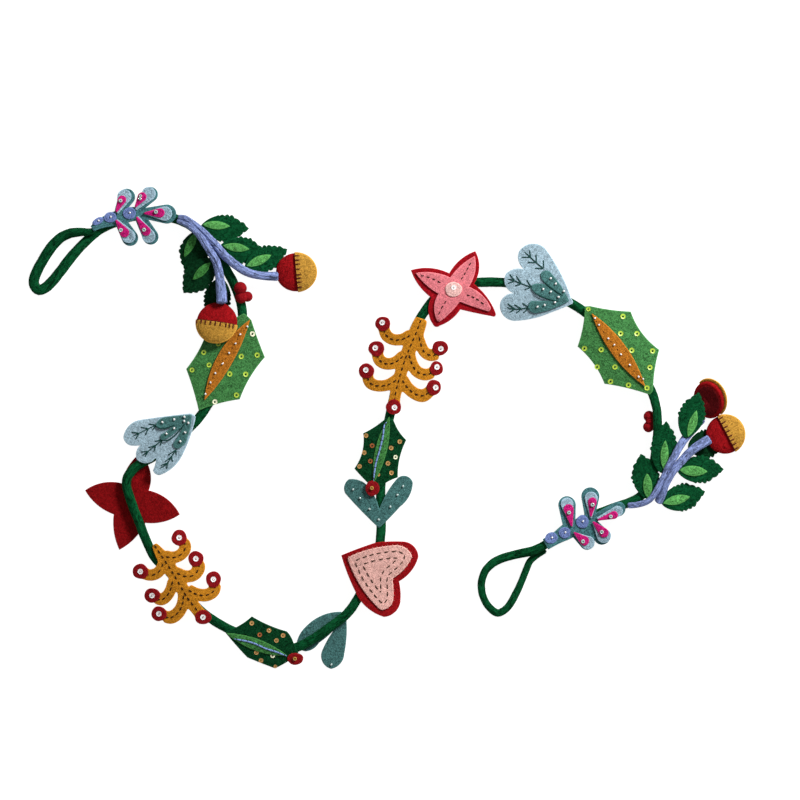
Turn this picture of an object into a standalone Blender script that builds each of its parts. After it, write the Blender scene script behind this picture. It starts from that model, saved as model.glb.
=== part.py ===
"""Felt flower garland, laid in an S on a flat surface.

One felted rope carries everything: it ends in a hanging loop at each side, and flat felt cut-outs,
rolled felt stems, stuffed buds and felt balls are sewn along it. Each cut-out is one flat shape bent
over the rope like a low ridge, and it is lowered until it lies on the pieces below it.

Places in the tables are millimetres on the layout sheet: an 800 mm square seen from above, x to the
right and y down from its upper left corner. Heights are millimetres above the table top. The world is
in metres, with +Z up.
"""

import math
from collections import namedtuple

import bmesh
import bpy
from mathutils import Vector
from mathutils.bvhtree import BVHTree
from mathutils.geometry import delaunay_2d_cdt

MM = 0.001
GARLAND_SPOT = (387.15, 428.05)     # the spot of the layout sheet under the garland's middle

ROPE_STEP = 28.0                  # longest straight run of the rope's solid
ROPE_TURN = 22.0                  # degrees of bend between two points of the rope
ROPE_MIN_STEP = 5.0
FELT = 1.8                        # thick felt of the base pieces
THIN_FELT = 1.4                   # felt of what is sewn on top of a base piece
AIR = 0.45                        # air between two pieces that lie on each other
GRID = 8.5                        # spacing of a sheet's inner points
EDGE_CLEAR = 3.6                  # inner points keep this far from a sheet's edges
ARC_STEP = 5.5                    # spacing of points along a curved edge
STRAIGHT_STEP = 11.0              # spacing of points along a straight edge
DISC_STEP = 4.8                   # spacing of points around a disc
PETAL_STEP = 4.0                  # spacing of points around a petal's ends
ARC_TURN = 26.0                   # degrees of arc between two points of an edge
RIDGE_ROUND = 14.0                # how gently a sheet bends over the rope
RIPPLE = 0.6                      # height of the uneven wave along a sheet's free edges
RIPPLE_LENGTH = 52.0
RIPPLE_REACH = 25.0               # the wave is full this far from the ridge
RISE_LENGTH = 15.0                # along this way a ridge's raised end comes down
RIM_STEP = 0.7                    # width of the sloping edge around a raised patch
RAISED = 1.4                      # height of a patch that is sewn on and shown as a raise
SEAM_MERGE = 0.9                  # outline points closer than this become one

LEAF_TEETH = 6
LEAF_FULLNESS = 0.78              # below 1, the leaf's ends are rounder than a sine wave's
LEAF_TOOTHED_FROM = 0.45          # share of the leaf's length where the teeth begin
TOOTH_OUT = 0.7
TOOTH_IN = 1.1

BUD_HEIGHT = 8.0
BUD_EQUATOR = 2.6                 # height of the bud's widest ring
BUD_SIDES = 24
BUD_RINGS = 5
BUD_FLAT_SHARE = 0.86             # share of the radius that the flat underside reaches
BUD_HEEL_SHARE = 0.97             # share of the radius at the heel of the rounded rim
BUD_HEEL_HEIGHT = 0.9
CROWN_EDGE = 0.985                # share of the radius where the crown ends and its side begins
SIDE_SLOPE = 18.0                 # fall of the side beyond the crown's end
CAP_OVERHANG = 0.9                # how far the half cap reaches past the bud's side
CAP_STEP = 4.5                    # spacing of points around the half cap's rim
SEAM_POINTS = 5                   # points along the half cap's straight seam
BERRY_SIDES = 10
BERRY_RINGS = 7
TOUCH_STEP = 2.5                  # spacing of the points that feel for what lies below
FAR = 500.0                       # height well above everything, where a feeler starts

ROPE_GREEN = (0.012, 0.083, 0.034)
TEAL = (0.071, 0.147, 0.141)
LIGHT_BLUE = (0.352, 0.462, 0.539)
LILAC = (0.187, 0.238, 0.456)
LEAF_GREEN = (0.006, 0.063, 0.025)
HOLLY_GREEN = (0.072, 0.238, 0.078)
MIDRIB_ORANGE = (0.445, 0.152, 0.023)
BUD_RED = (0.319, 0.012, 0.014)
BUD_YELLOW = (0.527, 0.275, 0.045)
STAR_RED = (0.242, 0.009, 0.012)
STAR_PINK = (0.638, 0.158, 0.184)
MUSTARD = (0.527, 0.238, 0.033)
HEART_PINK = (0.701, 0.353, 0.314)

CordPoint = namedtuple("CordPoint", "x y z radius")
Strip = namedtuple("Strip", "x y half")
Corner = namedtuple("Corner", "x y bow")
Drop = namedtuple("Drop", "root_x root_y root_r tip_x tip_y tip_r")
Disc = namedtuple("Disc", "x y rx ry turn")
Ridge = namedtuple("Ridge", "x0 y0 x1 y1 fall pitch rise")
Leaf = namedtuple("Leaf", "name x0 y0 x1 y1 width fall fold pitch vein")
Lens = namedtuple("Lens", "x0 y0 x1 y1 bow0 bow1")
Bud = namedtuple("Bud", "name x y rx ry seam_x0 seam_y0 seam_x1 seam_y1 tilt heading face_down")
Ball = namedtuple("Ball", "x y z radius")
Patch = namedtuple("Patch", "outer inner guard")

ROPE = (
    CordPoint(97.0, 230.6, 12.6, 2.7),
    CordPoint(89.0, 232.2, 12.8, 3.6),
    CordPoint(79.0, 232.4, 10.6, 4.5),
    CordPoint(69.0, 233.8, 6.8, 4.7),
    CordPoint(59.5, 238.6, 5.0, 4.7),
    CordPoint(50.5, 248.2, 4.8, 4.75),
    CordPoint(41.5, 262.5, 4.8, 4.75),
    CordPoint(35.4, 275.0, 4.8, 4.8),
    CordPoint(33.9, 283.8, 4.8, 4.8),
    CordPoint(39.0, 290.0, 4.8, 4.8),
    CordPoint(48.2, 285.4, 4.8, 4.8),
    CordPoint(59.7, 272.3, 4.8, 4.75),
    CordPoint(71.0, 257.4, 4.8, 4.75),
    CordPoint(83.3, 243.7, 4.75, 4.7),
    CordPoint(97.6, 231.2, 4.75, 4.7),
    CordPoint(113.0, 223.2, 4.75, 4.7),
    CordPoint(131.0, 217.0, 4.75, 4.7),
    CordPoint(150.0, 214.5, 4.75, 4.7),
    CordPoint(169.0, 217.0, 4.75, 4.7),
    CordPoint(187.2, 223.8, 4.75, 4.7),
    CordPoint(200.5, 234.0, 4.75, 4.7),
    CordPoint(213.5, 250.0, 4.75, 4.7),
    CordPoint(226.7, 270.3, 4.75, 4.7),
    CordPoint(236.0, 289.0, 4.75, 4.7),
    CordPoint(242.2, 311.0, 4.75, 4.7),
    CordPoint(240.0, 338.0, 4.75, 4.7),
    CordPoint(226.0, 371.0, 4.75, 4.7),
    CordPoint(202.5, 413.0, 4.75, 4.7),
    CordPoint(179.0, 438.0, 4.75, 4.7),
    CordPoint(165.0, 449.8, 5.4, 4.7),
    CordPoint(153.0, 457.0, 7.1, 4.7),
    CordPoint(134.5, 468.0, 7.1, 4.7),
    CordPoint(126.5, 481.5, 6.95, 4.7),
    CordPoint(132.0, 503.5, 6.95, 4.7),
    CordPoint(139.0, 521.5, 7.1, 4.7),
    CordPoint(146.5, 541.0, 6.8, 4.7),
    CordPoint(155.5, 558.5, 4.75, 4.7),
    CordPoint(169.0, 571.5, 4.75, 4.7),
    CordPoint(186.0, 595.0, 4.75, 4.7),
    CordPoint(203.0, 612.8, 4.75, 4.7),
    CordPoint(229.0, 629.2, 4.75, 4.7),
    CordPoint(262.0, 642.0, 4.9, 4.7),
    CordPoint(291.0, 648.3, 6.95, 4.7),
    CordPoint(312.0, 639.5, 6.95, 4.7),
    CordPoint(334.0, 624.0, 7.1, 4.7),
    CordPoint(348.6, 611.8, 7.1, 4.7),
    CordPoint(362.0, 590.5, 4.75, 4.7),
    CordPoint(377.0, 557.0, 4.75, 4.7),
    CordPoint(381.0, 530.0, 4.75, 4.7),
    CordPoint(380.8, 488.0, 4.75, 4.7),
    CordPoint(384.0, 447.0, 4.75, 4.7),
    CordPoint(389.6, 417.0, 4.75, 4.7),
    CordPoint(399.0, 375.0, 4.75, 4.7),
    CordPoint(413.0, 333.0, 4.75, 4.7),
    CordPoint(424.5, 311.5, 4.75, 4.7),
    CordPoint(441.0, 293.0, 4.75, 4.75),
    CordPoint(463.0, 284.5, 4.75, 4.75),
    CordPoint(490.0, 282.0, 4.8, 4.8),
    CordPoint(518.0, 284.5, 4.75, 4.75),
    CordPoint(551.0, 294.5, 4.75, 4.7),
    CordPoint(577.0, 306.7, 4.75, 4.7),
    CordPoint(603.0, 328.0, 4.75, 4.7),
    CordPoint(633.0, 363.0, 4.75, 4.7),
    CordPoint(650.4, 389.0, 6.0, 4.6),
    CordPoint(655.9, 407.0, 12.0, 4.5),
    CordPoint(657.1, 421.0, 13.6, 4.4),
    CordPoint(656.9, 434.0, 10.6, 4.5),
    CordPoint(655.0, 456.0, 5.2, 4.6),
    CordPoint(649.0, 484.5, 4.75, 4.7),
    CordPoint(637.5, 498.5, 4.75, 4.7),
    CordPoint(612.0, 508.2, 4.75, 4.6),
    CordPoint(588.0, 518.0, 4.75, 4.6),
    CordPoint(568.0, 529.0, 5.0, 4.6),
    CordPoint(554.0, 538.0, 8.0, 4.6),
    CordPoint(543.6, 545.2, 11.1, 4.4),
    CordPoint(532.0, 550.8, 10.0, 4.6),
    CordPoint(519.0, 553.8, 6.4, 4.5),
    CordPoint(503.0, 557.4, 4.4, 4.35),
    CordPoint(493.0, 562.4, 4.2, 4.2),
    CordPoint(485.8, 570.0, 4.1, 4.0),
    CordPoint(482.0, 581.3, 3.9, 3.8),
    CordPoint(482.8, 593.0, 3.8, 3.75),
    CordPoint(488.2, 604.5, 3.8, 3.75),
    CordPoint(498.0, 612.2, 3.8, 3.8),
    CordPoint(507.8, 606.8, 3.8, 3.8),
    CordPoint(515.2, 595.2, 3.8, 3.75),
    CordPoint(521.4, 582.0, 3.7, 3.6),
    CordPoint(525.8, 571.0, 3.6, 3.5),
    CordPoint(530.8, 560.4, 3.5, 3.4),
    CordPoint(545.6, 549.6, 3.3, 3.2),
)

STEMS = (
    ("stem_left_1", (
        CordPoint(178.2, 217.2, 12.3, 2.3),
        CordPoint(185.0, 218.2, 12.4, 2.7),
        CordPoint(193.5, 222.2, 12.6, 3.1),
        CordPoint(202.6, 229.2, 13.2, 3.4),
        CordPoint(211.6, 238.6, 13.4, 3.7),
        CordPoint(218.8, 247.8, 13.4, 3.9),
        CordPoint(222.8, 253.8, 13.2, 4.1),
        CordPoint(229.5, 260.0, 13.2, 4.2),
        CordPoint(238.0, 266.8, 13.6, 4.2),
        CordPoint(247.0, 272.2, 13.6, 4.1),
        CordPoint(257.0, 275.2, 13.2, 4.1),
        CordPoint(268.0, 276.4, 12.6, 4.2),
        CordPoint(278.6, 276.5, 12.3, 4.5),
    )),
    ("stem_left_2", (
        CordPoint(177.0, 221.8, 12.2, 2.0),
        CordPoint(185.0, 225.2, 13.2, 2.4),
        CordPoint(192.5, 229.6, 15.2, 2.8),
        CordPoint(199.0, 235.4, 16.0, 3.2),
        CordPoint(204.4, 244.0, 16.0, 3.6),
        CordPoint(210.6, 253.0, 15.6, 3.9),
        CordPoint(216.0, 262.4, 15.4, 4.0),
        CordPoint(219.0, 273.0, 15.2, 4.3),
        CordPoint(221.0, 285.0, 15.4, 4.7),
        CordPoint(222.2, 295.0, 16.6, 5.1),
        CordPoint(222.5, 303.8, 17.9, 5.3),
    )),
    ("stem_right_1", (
        CordPoint(627.4, 505.4, 12.9, 2.9),
        CordPoint(637.0, 504.4, 14.8, 2.9),
        CordPoint(646.8, 501.0, 17.2, 2.9),
        CordPoint(652.6, 495.6, 17.4, 3.0),
        CordPoint(656.4, 488.4, 16.8, 3.1),
        CordPoint(660.4, 480.6, 16.6, 3.1),
        CordPoint(664.0, 473.0, 17.0, 3.0),
        CordPoint(668.8, 465.4, 18.4, 3.3),
        CordPoint(674.6, 456.4, 18.9, 3.6),
        CordPoint(680.4, 446.2, 16.6, 3.9),
        CordPoint(686.4, 438.0, 13.2, 4.0),
        CordPoint(694.6, 428.4, 10.0, 4.0),
        CordPoint(702.4, 418.6, 8.0, 4.0),
    )),
    ("stem_right_2", (
        CordPoint(657.6, 502.4, 11.0, 4.3),
        CordPoint(662.6, 494.8, 14.2, 3.8),
        CordPoint(665.6, 486.4, 16.4, 3.4),
        CordPoint(669.4, 478.6, 16.8, 3.3),
        CordPoint(675.0, 469.9, 16.6, 3.5),
        CordPoint(681.4, 461.2, 15.6, 3.8),
        CordPoint(688.8, 454.0, 14.4, 4.2),
        CordPoint(698.0, 447.0, 13.2, 4.6),
        CordPoint(709.6, 439.8, 12.6, 5.0),
    )),
)

SPRIG_LEFT_STEM = (
    Strip(93.0, 229.2, 3.0),
    Strip(102.0, 223.6, 5.0),
    Strip(116.0, 218.6, 7.0),
    Strip(130.0, 214.6, 7.2),
    Strip(143.0, 213.6, 6.0),
)
SPRIG_LEFT_PETALS = (
    Drop(119.5, 212.0, 4.5, 127.0, 197.0, 8.3),
    Drop(138.0, 210.0, 3.4, 150.4, 194.6, 7.7),
    Drop(143.0, 213.6, 5.0, 167.0, 214.3, 9.6),
    Drop(139.5, 215.5, 3.8, 151.0, 236.3, 7.9),
    Drop(119.5, 219.0, 3.6, 130.5, 237.4, 8.1),
)
SPRIG_LEFT_TOPS = (
    Drop(118.3, 213.4, 0.8, 124.7, 196.6, 7.0),
    Drop(136.4, 209.8, 0.9, 149.0, 194.1, 7.0),
    Drop(145.6, 213.6, 0.9, 165.6, 214.0, 7.8),
    Drop(138.6, 217.2, 0.9, 149.4, 236.0, 7.1),
    Drop(118.0, 220.4, 0.9, 129.6, 236.0, 7.2),
)
SPRIG_LEFT_DISCS = (
    Disc(129.9, 213.5, 6.5, 6.0, 0.0),
    Disc(110.9, 217.7, 6.3, 5.2, 10.0),
    Disc(98.8, 221.6, 6.2, 3.2, 30.0),
)
SPRIG_LEFT_RIDGE = Ridge(96.0, 228.0, 175.0, 215.0, 0.2, 0.0, 5.6)

SPRIG_RIGHT_STEM = (
    Strip(545.0, 544.0, 5.8),
    Strip(556.0, 537.8, 6.3),
    Strip(567.0, 531.2, 8.0),
    Strip(580.0, 525.0, 7.0),
    Strip(592.0, 519.6, 5.6),
)
SPRIG_RIGHT_PETALS = (
    Drop(569.0, 527.0, 6.0, 566.9, 504.8, 8.7),
    Drop(589.4, 519.0, 4.4, 590.2, 496.2, 9.0),
    Drop(596.0, 517.0, 4.0, 617.8, 508.8, 7.4),
    Drop(593.0, 521.4, 4.2, 602.6, 536.0, 7.6),
    Drop(573.6, 531.8, 4.0, 586.6, 542.2, 7.2),
)
SPRIG_RIGHT_TOPS = (
    Drop(571.6, 525.8, 0.9, 566.9, 503.8, 7.0),
    Drop(590.6, 517.6, 0.9, 590.9, 498.0, 7.2),
    Drop(597.0, 518.2, 0.9, 617.2, 511.0, 5.8),
    Drop(593.0, 522.6, 0.9, 603.6, 535.6, 7.2),
    Drop(574.0, 532.8, 0.9, 587.6, 542.6, 6.8),
)
SPRIG_RIGHT_DISCS = (
    Disc(550.9, 537.6, 6.5, 5.5, 20.0),
    Disc(564.3, 532.5, 6.0, 5.6, 0.0),
    Disc(582.1, 521.5, 6.3, 6.6, 0.0),
)
SPRIG_RIGHT_RIDGE = Ridge(546.0, 543.6, 624.0, 504.0, 0.2, 0.0, 6.0)

LEAVES_LEFT_LOW = (
    Leaf("leaf_left_1", 200.4, 232.8, 182.8, 271.6, 23.6, 0.3, 5.0, 0.12,
         Lens(196.6, 234.6, 184.2, 257.4, 4.2, 4.2)),
    Leaf("leaf_left_2", 212.5, 261.0, 182.8, 292.6, 23.0, 0.25, 4.0, 0.05,
         Lens(211.0, 262.6, 193.0, 280.0, 4.0, 4.2)),
    Leaf("leaf_left_3", 221.5, 278.0, 214.0, 320.0, 25.0, 0.2, 0.0, 0.21, None),
    Leaf("leaf_left_4", 219.0, 247.8, 265.5, 251.0, 24.2, 0.2, 0.0, 0.15,
         Lens(223.0, 245.8, 249.4, 249.2, 4.2, 4.2)),
    Leaf("leaf_left_5", 200.4, 226.4, 248.6, 228.0, 22.6, 0.2, 0.0, 0.13,
         Lens(202.6, 224.4, 230.0, 226.2, 4.2, 4.2)),
    Leaf("leaf_left_6", 245.2, 268.2, 287.4, 249.0, 25.0, 0.2, 0.0, 0.18,
         Lens(246.6, 266.4, 271.2, 255.0, 4.4, 4.4)),
)
LEAVES_RIGHT_LOW = (
    Leaf("leaf_right_1", 649.0, 499.8, 639.0, 453.6, 26.0, 0.3, -6.0, 0.0,
         Lens(647.6, 498.8, 646.6, 473.2, 4.6, 4.4)),
    Leaf("leaf_right_2", 662.0, 471.6, 665.6, 421.0, 25.0, 0.3, 7.0, -0.06,
         Lens(663.0, 469.4, 664.6, 440.2, 4.0, 4.0)),
    Leaf("leaf_right_3", 688.0, 449.0, 726.0, 441.0, 28.0, 0.2, 0.0, 0.1, None),
    Leaf("leaf_right_4", 676.7, 469.6, 724.0, 469.2, 27.4, 0.2, 0.0, 0.12,
         Lens(678.8, 469.8, 707.4, 471.6, 5.4, 5.0)),
    Leaf("leaf_right_5", 661.2, 503.0, 705.6, 491.4, 27.0, 0.2, 0.0, 0.15,
         Lens(662.8, 503.2, 690.2, 496.8, 4.6, 4.8)),
)
LEAF_RIGHT_TOP = Leaf("leaf_right_6", 685.4, 437.6, 699.2, 392.4, 25.0, 0.2, 0.0, 0.05,
                      Lens(687.6, 436.8, 696.0, 410.4, 4.6, 3.4))

BUDS_LEFT = (
    Bud("bud_left_1", 296.8, 272.0, 20.4, 19.7, 298.0, 291.7, 294.4, 252.4, 0.0, 0.0, False),
    Bud("bud_left_2", 217.3, 323.1, 20.9, 20.9, 196.6, 320.3, 237.5, 326.6, 13.0, -65.0, False),
)
BUDS_RIGHT = (
    Bud("bud_right_1", 725.6, 434.0, 19.6, 19.8, 735.4, 451.8, 717.0, 416.2, 0.0, 0.0, False),
    Bud("bud_right_2", 708.2, 399.4, 21.4, 17.4, 692.8, 385.8, 721.8, 412.8, 41.0, 40.0, True),
)

BERRIES_LEFT = (
    Ball(240.8, 288.6, 15.4, 6.4),
    Ball(241.6, 297.4, 13.6, 6.2),
    Ball(247.6, 296.8, 9.4, 5.2),
)
BERRIES_RIGHT = (
    Ball(649.2, 416.4, 5.6, 5.6),
    Ball(648.6, 426.8, 5.5, 5.5),
    Ball(653.0, 421.6, 4.3, 4.3),
)

HOLLY_LEFT = (
    Corner(244.2, 313.4, 0.3),
    Corner(251.6, 320.4, -0.4),
    Corner(264.9, 357.2, -2.4),
    Corner(239.8, 399.4, -1.6),
    Corner(199.0, 410.6, -0.8),
    Corner(186.3, 369.0, -2.6),
    Corner(208.5, 326.0, -1.6),
)
HOLLY_LEFT_RIB = Lens(250.4, 319.6, 204.8, 400.4, 10.4, 5.7)
HOLLY_LEFT_RIDGE = Ridge(243.0, 316.0, 204.0, 410.0, 0.19, 0.0, 0.0)
HOLLY_RIGHT = (
    Corner(584.6, 306.5, 0.0),
    Corner(590.0, 306.2, -1.0),
    Corner(630.6, 311.6, -3.8),
    Corner(659.0, 349.8, -1.4),
    Corner(652.6, 390.0, 0.3),
    Corner(649.4, 394.8, -1.2),
    Corner(604.3, 383.8, -3.0),
    Corner(577.4, 346.6, -1.6),
)
HOLLY_RIGHT_RIB = Lens(591.2, 313.4, 644.6, 386.6, 7.4, 8.0)
HOLLY_RIGHT_RIDGE = Ridge(584.0, 311.0, 650.0, 391.0, 0.19, -0.01, 0.0)

LOBES_LEFT = (
    Corner(196.0, 416.6, 0.6),
    Corner(190.0, 413.4, 0.3),
    Corner(140.0, 419.8, 3.9),
    Corner(123.7, 437.0, 2.8),
    Corner(134.0, 445.7, 0.2),
    Corner(140.6, 445.3, 2.4),
    Corner(137.4, 459.4, 4.0),
    Corner(155.0, 458.9, 0.2),
    Corner(157.0, 457.6, -0.4),
    Corner(153.4, 470.4, 1.4),
    Corner(160.0, 475.0, 3.2),
    Corner(183.0, 454.5, 1.4),
)
FINGERS_LEFT = (
    Corner(192.0, 414.6, 0.2),
    Corner(165.0, 417.2, 1.6),
    Corner(156.0, 424.8, 1.0),
    Corner(160.0, 428.6, 1.2),
    Corner(174.0, 424.8, -0.8),
    Corner(161.6, 434.4, 1.6),
    Corner(163.0, 440.4, 2.0),
    Corner(184.4, 423.2, -1.0),
    Corner(173.8, 443.0, 1.8),
    Corner(177.6, 448.5, 2.4),
    Corner(188.0, 437.0, 1.0),
)
LOBES_LEFT_RIDGE = Ridge(203.0, 412.0, 148.0, 460.0, 0.15, -0.02, 0.0)
LOBES_RIGHT = (
    Corner(571.4, 299.4, 2.4),
    Corner(545.0, 248.0, 6.2),
    Corner(518.8, 251.5, 3.2),
    Corner(524.2, 269.4, 2.4),
    Corner(506.0, 273.4, 5.2),
    Corner(513.8, 293.4, 2.9),
    Corner(500.0, 303.0, 6.3),
    Corner(517.0, 320.8, 1.4),
    Corner(549.0, 313.4, 0.2),
    Corner(572.4, 303.8, 0.8),
)
FINGERS_RIGHT = (
    Corner(569.0, 301.0, 1.4),
    Corner(549.0, 271.2, 1.6),
    Corner(540.4, 273.6, 1.2),
    Corner(544.0, 282.0, 0.4),
    Corner(563.0, 296.2, 0.0),
    Corner(545.0, 284.8, 1.2),
    Corner(532.0, 285.0, 1.6),
    Corner(533.6, 292.2, 0.8),
    Corner(553.0, 300.4, -0.4),
    Corner(531.0, 301.0, 1.4),
    Corner(528.2, 309.6, 1.6),
    Corner(538.0, 313.0, 1.4),
)
LOBES_RIGHT_RIDGE = Ridge(503.0, 282.5, 575.0, 305.0, 0.15, 0.0, 0.0)

STAR_BACK = (
    Corner(84.7, 490.4, 3.4),
    Corner(113.4, 514.5, 2.6),
    Corner(119.0, 550.0, 3.1),
    Corner(145.0, 523.0, 3.3),
    Corner(179.5, 514.6, 4.5),
    Corner(148.4, 490.6, 6.0),
    Corner(139.4, 453.6, 3.2),
    Corner(121.4, 483.4, 4.2),
)
STAR_FRONT = (
    Corner(475.2, 251.2, 3.2),
    Corner(449.2, 273.4, 3.7),
    Corner(410.8, 270.2, 2.7),
    Corner(431.2, 297.8, 4.4),
    Corner(434.4, 326.4, 1.0),
    Corner(440.0, 325.6, 2.2),
    Corner(460.2, 309.6, 0.2),
    Corner(494.0, 316.8, 0.9),
    Corner(495.6, 313.4, 2.8),
    Corner(473.6, 284.2, 4.8),
)
STAR_PINK_TOP = (
    Corner(474.6, 256.4, 2.2),
    Corner(450.2, 277.8, 2.8),
    Corner(415.6, 273.2, 1.8),
    Corner(438.4, 294.0, 3.8),
    Corner(437.2, 321.0, 0.8),
    Corner(441.0, 320.8, 1.0),
    Corner(459.6, 301.8, 0.4),
    Corner(488.6, 311.6, 0.8),
    Corner(490.6, 307.6, 3.0),
    Corner(468.8, 287.0, 3.2),
)
STAR_DISC = Disc(453.5, 289.6, 8.4, 7.4, 0.0)
STAR_RIDGE = Ridge(431.0, 297.0, 478.0, 283.0, 0.16, 0.0, 0.0)

BRANCH_LEFT_SPINE = (
    Strip(154.4, 544.0, 2.8),
    Strip(161.0, 554.0, 5.4),
    Strip(171.0, 569.0, 6.6),
    Strip(180.0, 584.0, 6.4),
    Strip(188.0, 597.5, 6.2),
    Strip(196.0, 608.0, 5.8),
    Strip(202.0, 616.0, 5.4),
)
BRANCH_LEFT_ARMS = (
    (Strip(165, 556, 6.3), Strip(173, 557.4, 5.9), Strip(181, 554.6, 5.9), Strip(185.6, 548, 5.9),
     Strip(184.4, 540, 4.9)),
    (Strip(176, 572, 5.9), Strip(185, 576, 5.9), Strip(194, 575, 6.1), Strip(199, 568.4, 6.3),
     Strip(199.4, 562, 5.3)),
    (Strip(188, 589, 5.9), Strip(196, 593.6, 6.1), Strip(206, 595, 6.3), Strip(213.6, 591.4, 6.1),
     Strip(216.4, 583.6, 5.3)),
    (Strip(164, 562, 5.1), Strip(161.4, 568.6, 5.5), Strip(157, 573.4, 5.7), Strip(150, 575, 5.7),
     Strip(144, 573.6, 5.3)),
    (Strip(173, 580, 5.3), Strip(171.8, 587, 5.5), Strip(168.6, 594, 5.7), Strip(162.4, 599.4, 5.9),
     Strip(155.6, 598.6, 5.3)),
    (Strip(184, 594, 5.7), Strip(183.2, 602.6, 5.9), Strip(179.6, 611, 6.3), Strip(172, 617.2, 6.5),
     Strip(164, 616.6, 5.7)),
)
BRANCH_LEFT_DISCS = (
    Disc(179.4, 537.6, 7.6, 8.0, 0.0),
    Disc(196.0, 558.6, 7.6, 7.8, 0.0),
    Disc(213.6, 579.2, 7.5, 8.2, 0.0),
    Disc(140.8, 571.2, 8.0, 7.6, -20.0),
    Disc(152.4, 595.2, 8.0, 7.3, 10.0),
    Disc(159.2, 613.6, 7.8, 7.4, 0.0),
    Disc(203.4, 616.8, 8.2, 7.2, 0.0),
)
BRANCH_LEFT_RIDGE = Ridge(155.0, 556.0, 203.0, 614.0, 0.17, 0.0, 0.0)
BRANCH_RIGHT_SPINE = (
    Strip(421.4, 318.6, 6.3),
    Strip(417.0, 331.0, 7.4),
    Strip(411.0, 345.0, 7.0),
    Strip(405.0, 360.0, 6.4),
    Strip(400.0, 376.0, 6.0),
    Strip(396.2, 391.0, 5.6),
    Strip(394.0, 403.0, 5.4),
)
BRANCH_RIGHT_ARMS = (
    (Strip(411, 335, 6.3), Strip(402.4, 339.4, 5.7), Strip(393, 339.6, 5.7), Strip(386.4, 335.4, 5.9),
     Strip(383.6, 328, 5.5)),
    (Strip(404, 355.6, 6.3), Strip(396, 362, 5.9), Strip(387.4, 364, 5.9), Strip(380, 360.8, 6.1),
     Strip(377, 353.6, 5.7)),
    (Strip(397, 379.6, 5.9), Strip(388.6, 384.6, 5.7), Strip(379, 386, 5.7), Strip(370.6, 383.4, 5.9),
     Strip(367, 376.4, 5.5)),
    (Strip(420, 338, 5.5), Strip(421, 346, 5.3), Strip(424.6, 352.4, 5.7), Strip(431, 355.4, 5.9),
     Strip(438, 354, 5.5)),
    (Strip(409, 354, 6.1), Strip(411.6, 363, 5.9), Strip(417, 371.6, 5.9), Strip(425.4, 374.8, 5.9),
     Strip(433, 372.6, 5.5)),
    (Strip(402, 379, 6.3), Strip(406.6, 386.6, 6.1), Strip(414.4, 393.4, 6.1), Strip(423, 395.8, 6.5),
     Strip(430, 391.4, 5.7)),
)
BRANCH_RIGHT_DISCS = (
    Disc(382.8, 323.8, 7.6, 7.2, 0.0),
    Disc(376.4, 348.6, 8.0, 7.6, 0.0),
    Disc(366.4, 371.0, 7.8, 7.6, 0.0),
    Disc(440.2, 348.0, 7.9, 7.3, 0.0),
    Disc(436.4, 368.4, 6.6, 7.2, 0.0),
    Disc(433.8, 387.4, 7.2, 7.8, 0.0),
    Disc(393.6, 407.0, 7.7, 7.6, 0.0),
)
BRANCH_RIGHT_RIDGE = Ridge(423.0, 315.0, 392.0, 407.0, 0.17, 0.0, 0.0)

SMALL_HOLLY_LEFT = (
    Corner(225.0, 631.4, -1.8),
    Corner(252.0, 616.0, -1.4),
    Corner(287.0, 631.0, 0.8),
    Corner(293.6, 642.0, 0.0),
    Corner(298.6, 652.0, 0.0),
    Corner(288.0, 661.0, 0.3),
    Corner(275.0, 668.0, 0.2),
    Corner(247.6, 657.2, 0.4),
)
SMALL_HOLLY_LEFT_VEIN = Lens(226.6, 633.0, 287.4, 655.0, 5.4, 4.6)
SMALL_HOLLY_LEFT_DISC = Disc(295.5, 658.3, 8.0, 6.0, 0.0)
SMALL_HOLLY_LEFT_RIDGE = Ridge(228.0, 629.0, 292.0, 648.0, 0.14, -0.02, 0.0)
SMALL_HOLLY_RIGHT = (
    Corner(384.4, 419.6, -0.8),
    Corner(363.2, 433.2, -3.6),
    Corner(354.4, 468.5, 0.2),
    Corner(368.0, 483.0, 0.0),
    Corner(377.0, 491.0, 0.0),
    Corner(386.6, 482.2, -0.3),
    Corner(397.8, 477.2, -2.4),
    Corner(406.3, 440.0, -1.4),
    Corner(393.8, 420.6, 0.3),
)
SMALL_HOLLY_RIGHT_VEIN = Lens(388.6, 418.8, 373.8, 482.0, 6.2, 5.4)
SMALL_HOLLY_RIGHT_DISC = Disc(372.4, 488.2, 7.0, 7.7, 0.0)
SMALL_HOLLY_RIGHT_RIDGE = Ridge(389.0, 420.0, 380.8, 488.0, 0.15, 0.0, 0.0)

TWIN_LEAF_FRONT = (
    Corner(379.0, 528.0, 0.6),
    Corner(345.4, 493.6, 3.0),
    Corner(349.0, 479.2, 1.6),
    Corner(365.0, 483.2, 2.0),
    Corner(379.4, 508.6, 1.6),
    Corner(397.0, 478.6, 4.8),
    Corner(412.8, 482.6, 3.2),
    Corner(400.0, 506.6, 0.4),
)
TWIN_LEAF_FRONT_RIDGE = Ridge(380.8, 530.0, 380.8, 480.0, 0.14, 0.0, 0.0)
TWIN_LEAF_BACK = (
    Corner(346.4, 620.0, 0.6),
    Corner(341.0, 612.0, 4.0),
    Corner(306.0, 626.6, 1.2),
    Corner(297.0, 641.0, 3.0),
    Corner(305.4, 651.6, 2.0),
    Corner(319.0, 643.0, 0.4),
    Corner(333.0, 631.4, 0.6),
    Corner(322.2, 650.6, 4.8),
    Corner(331.0, 669.2, 3.6),
    Corner(344.2, 654.0, 1.2),
)

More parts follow.
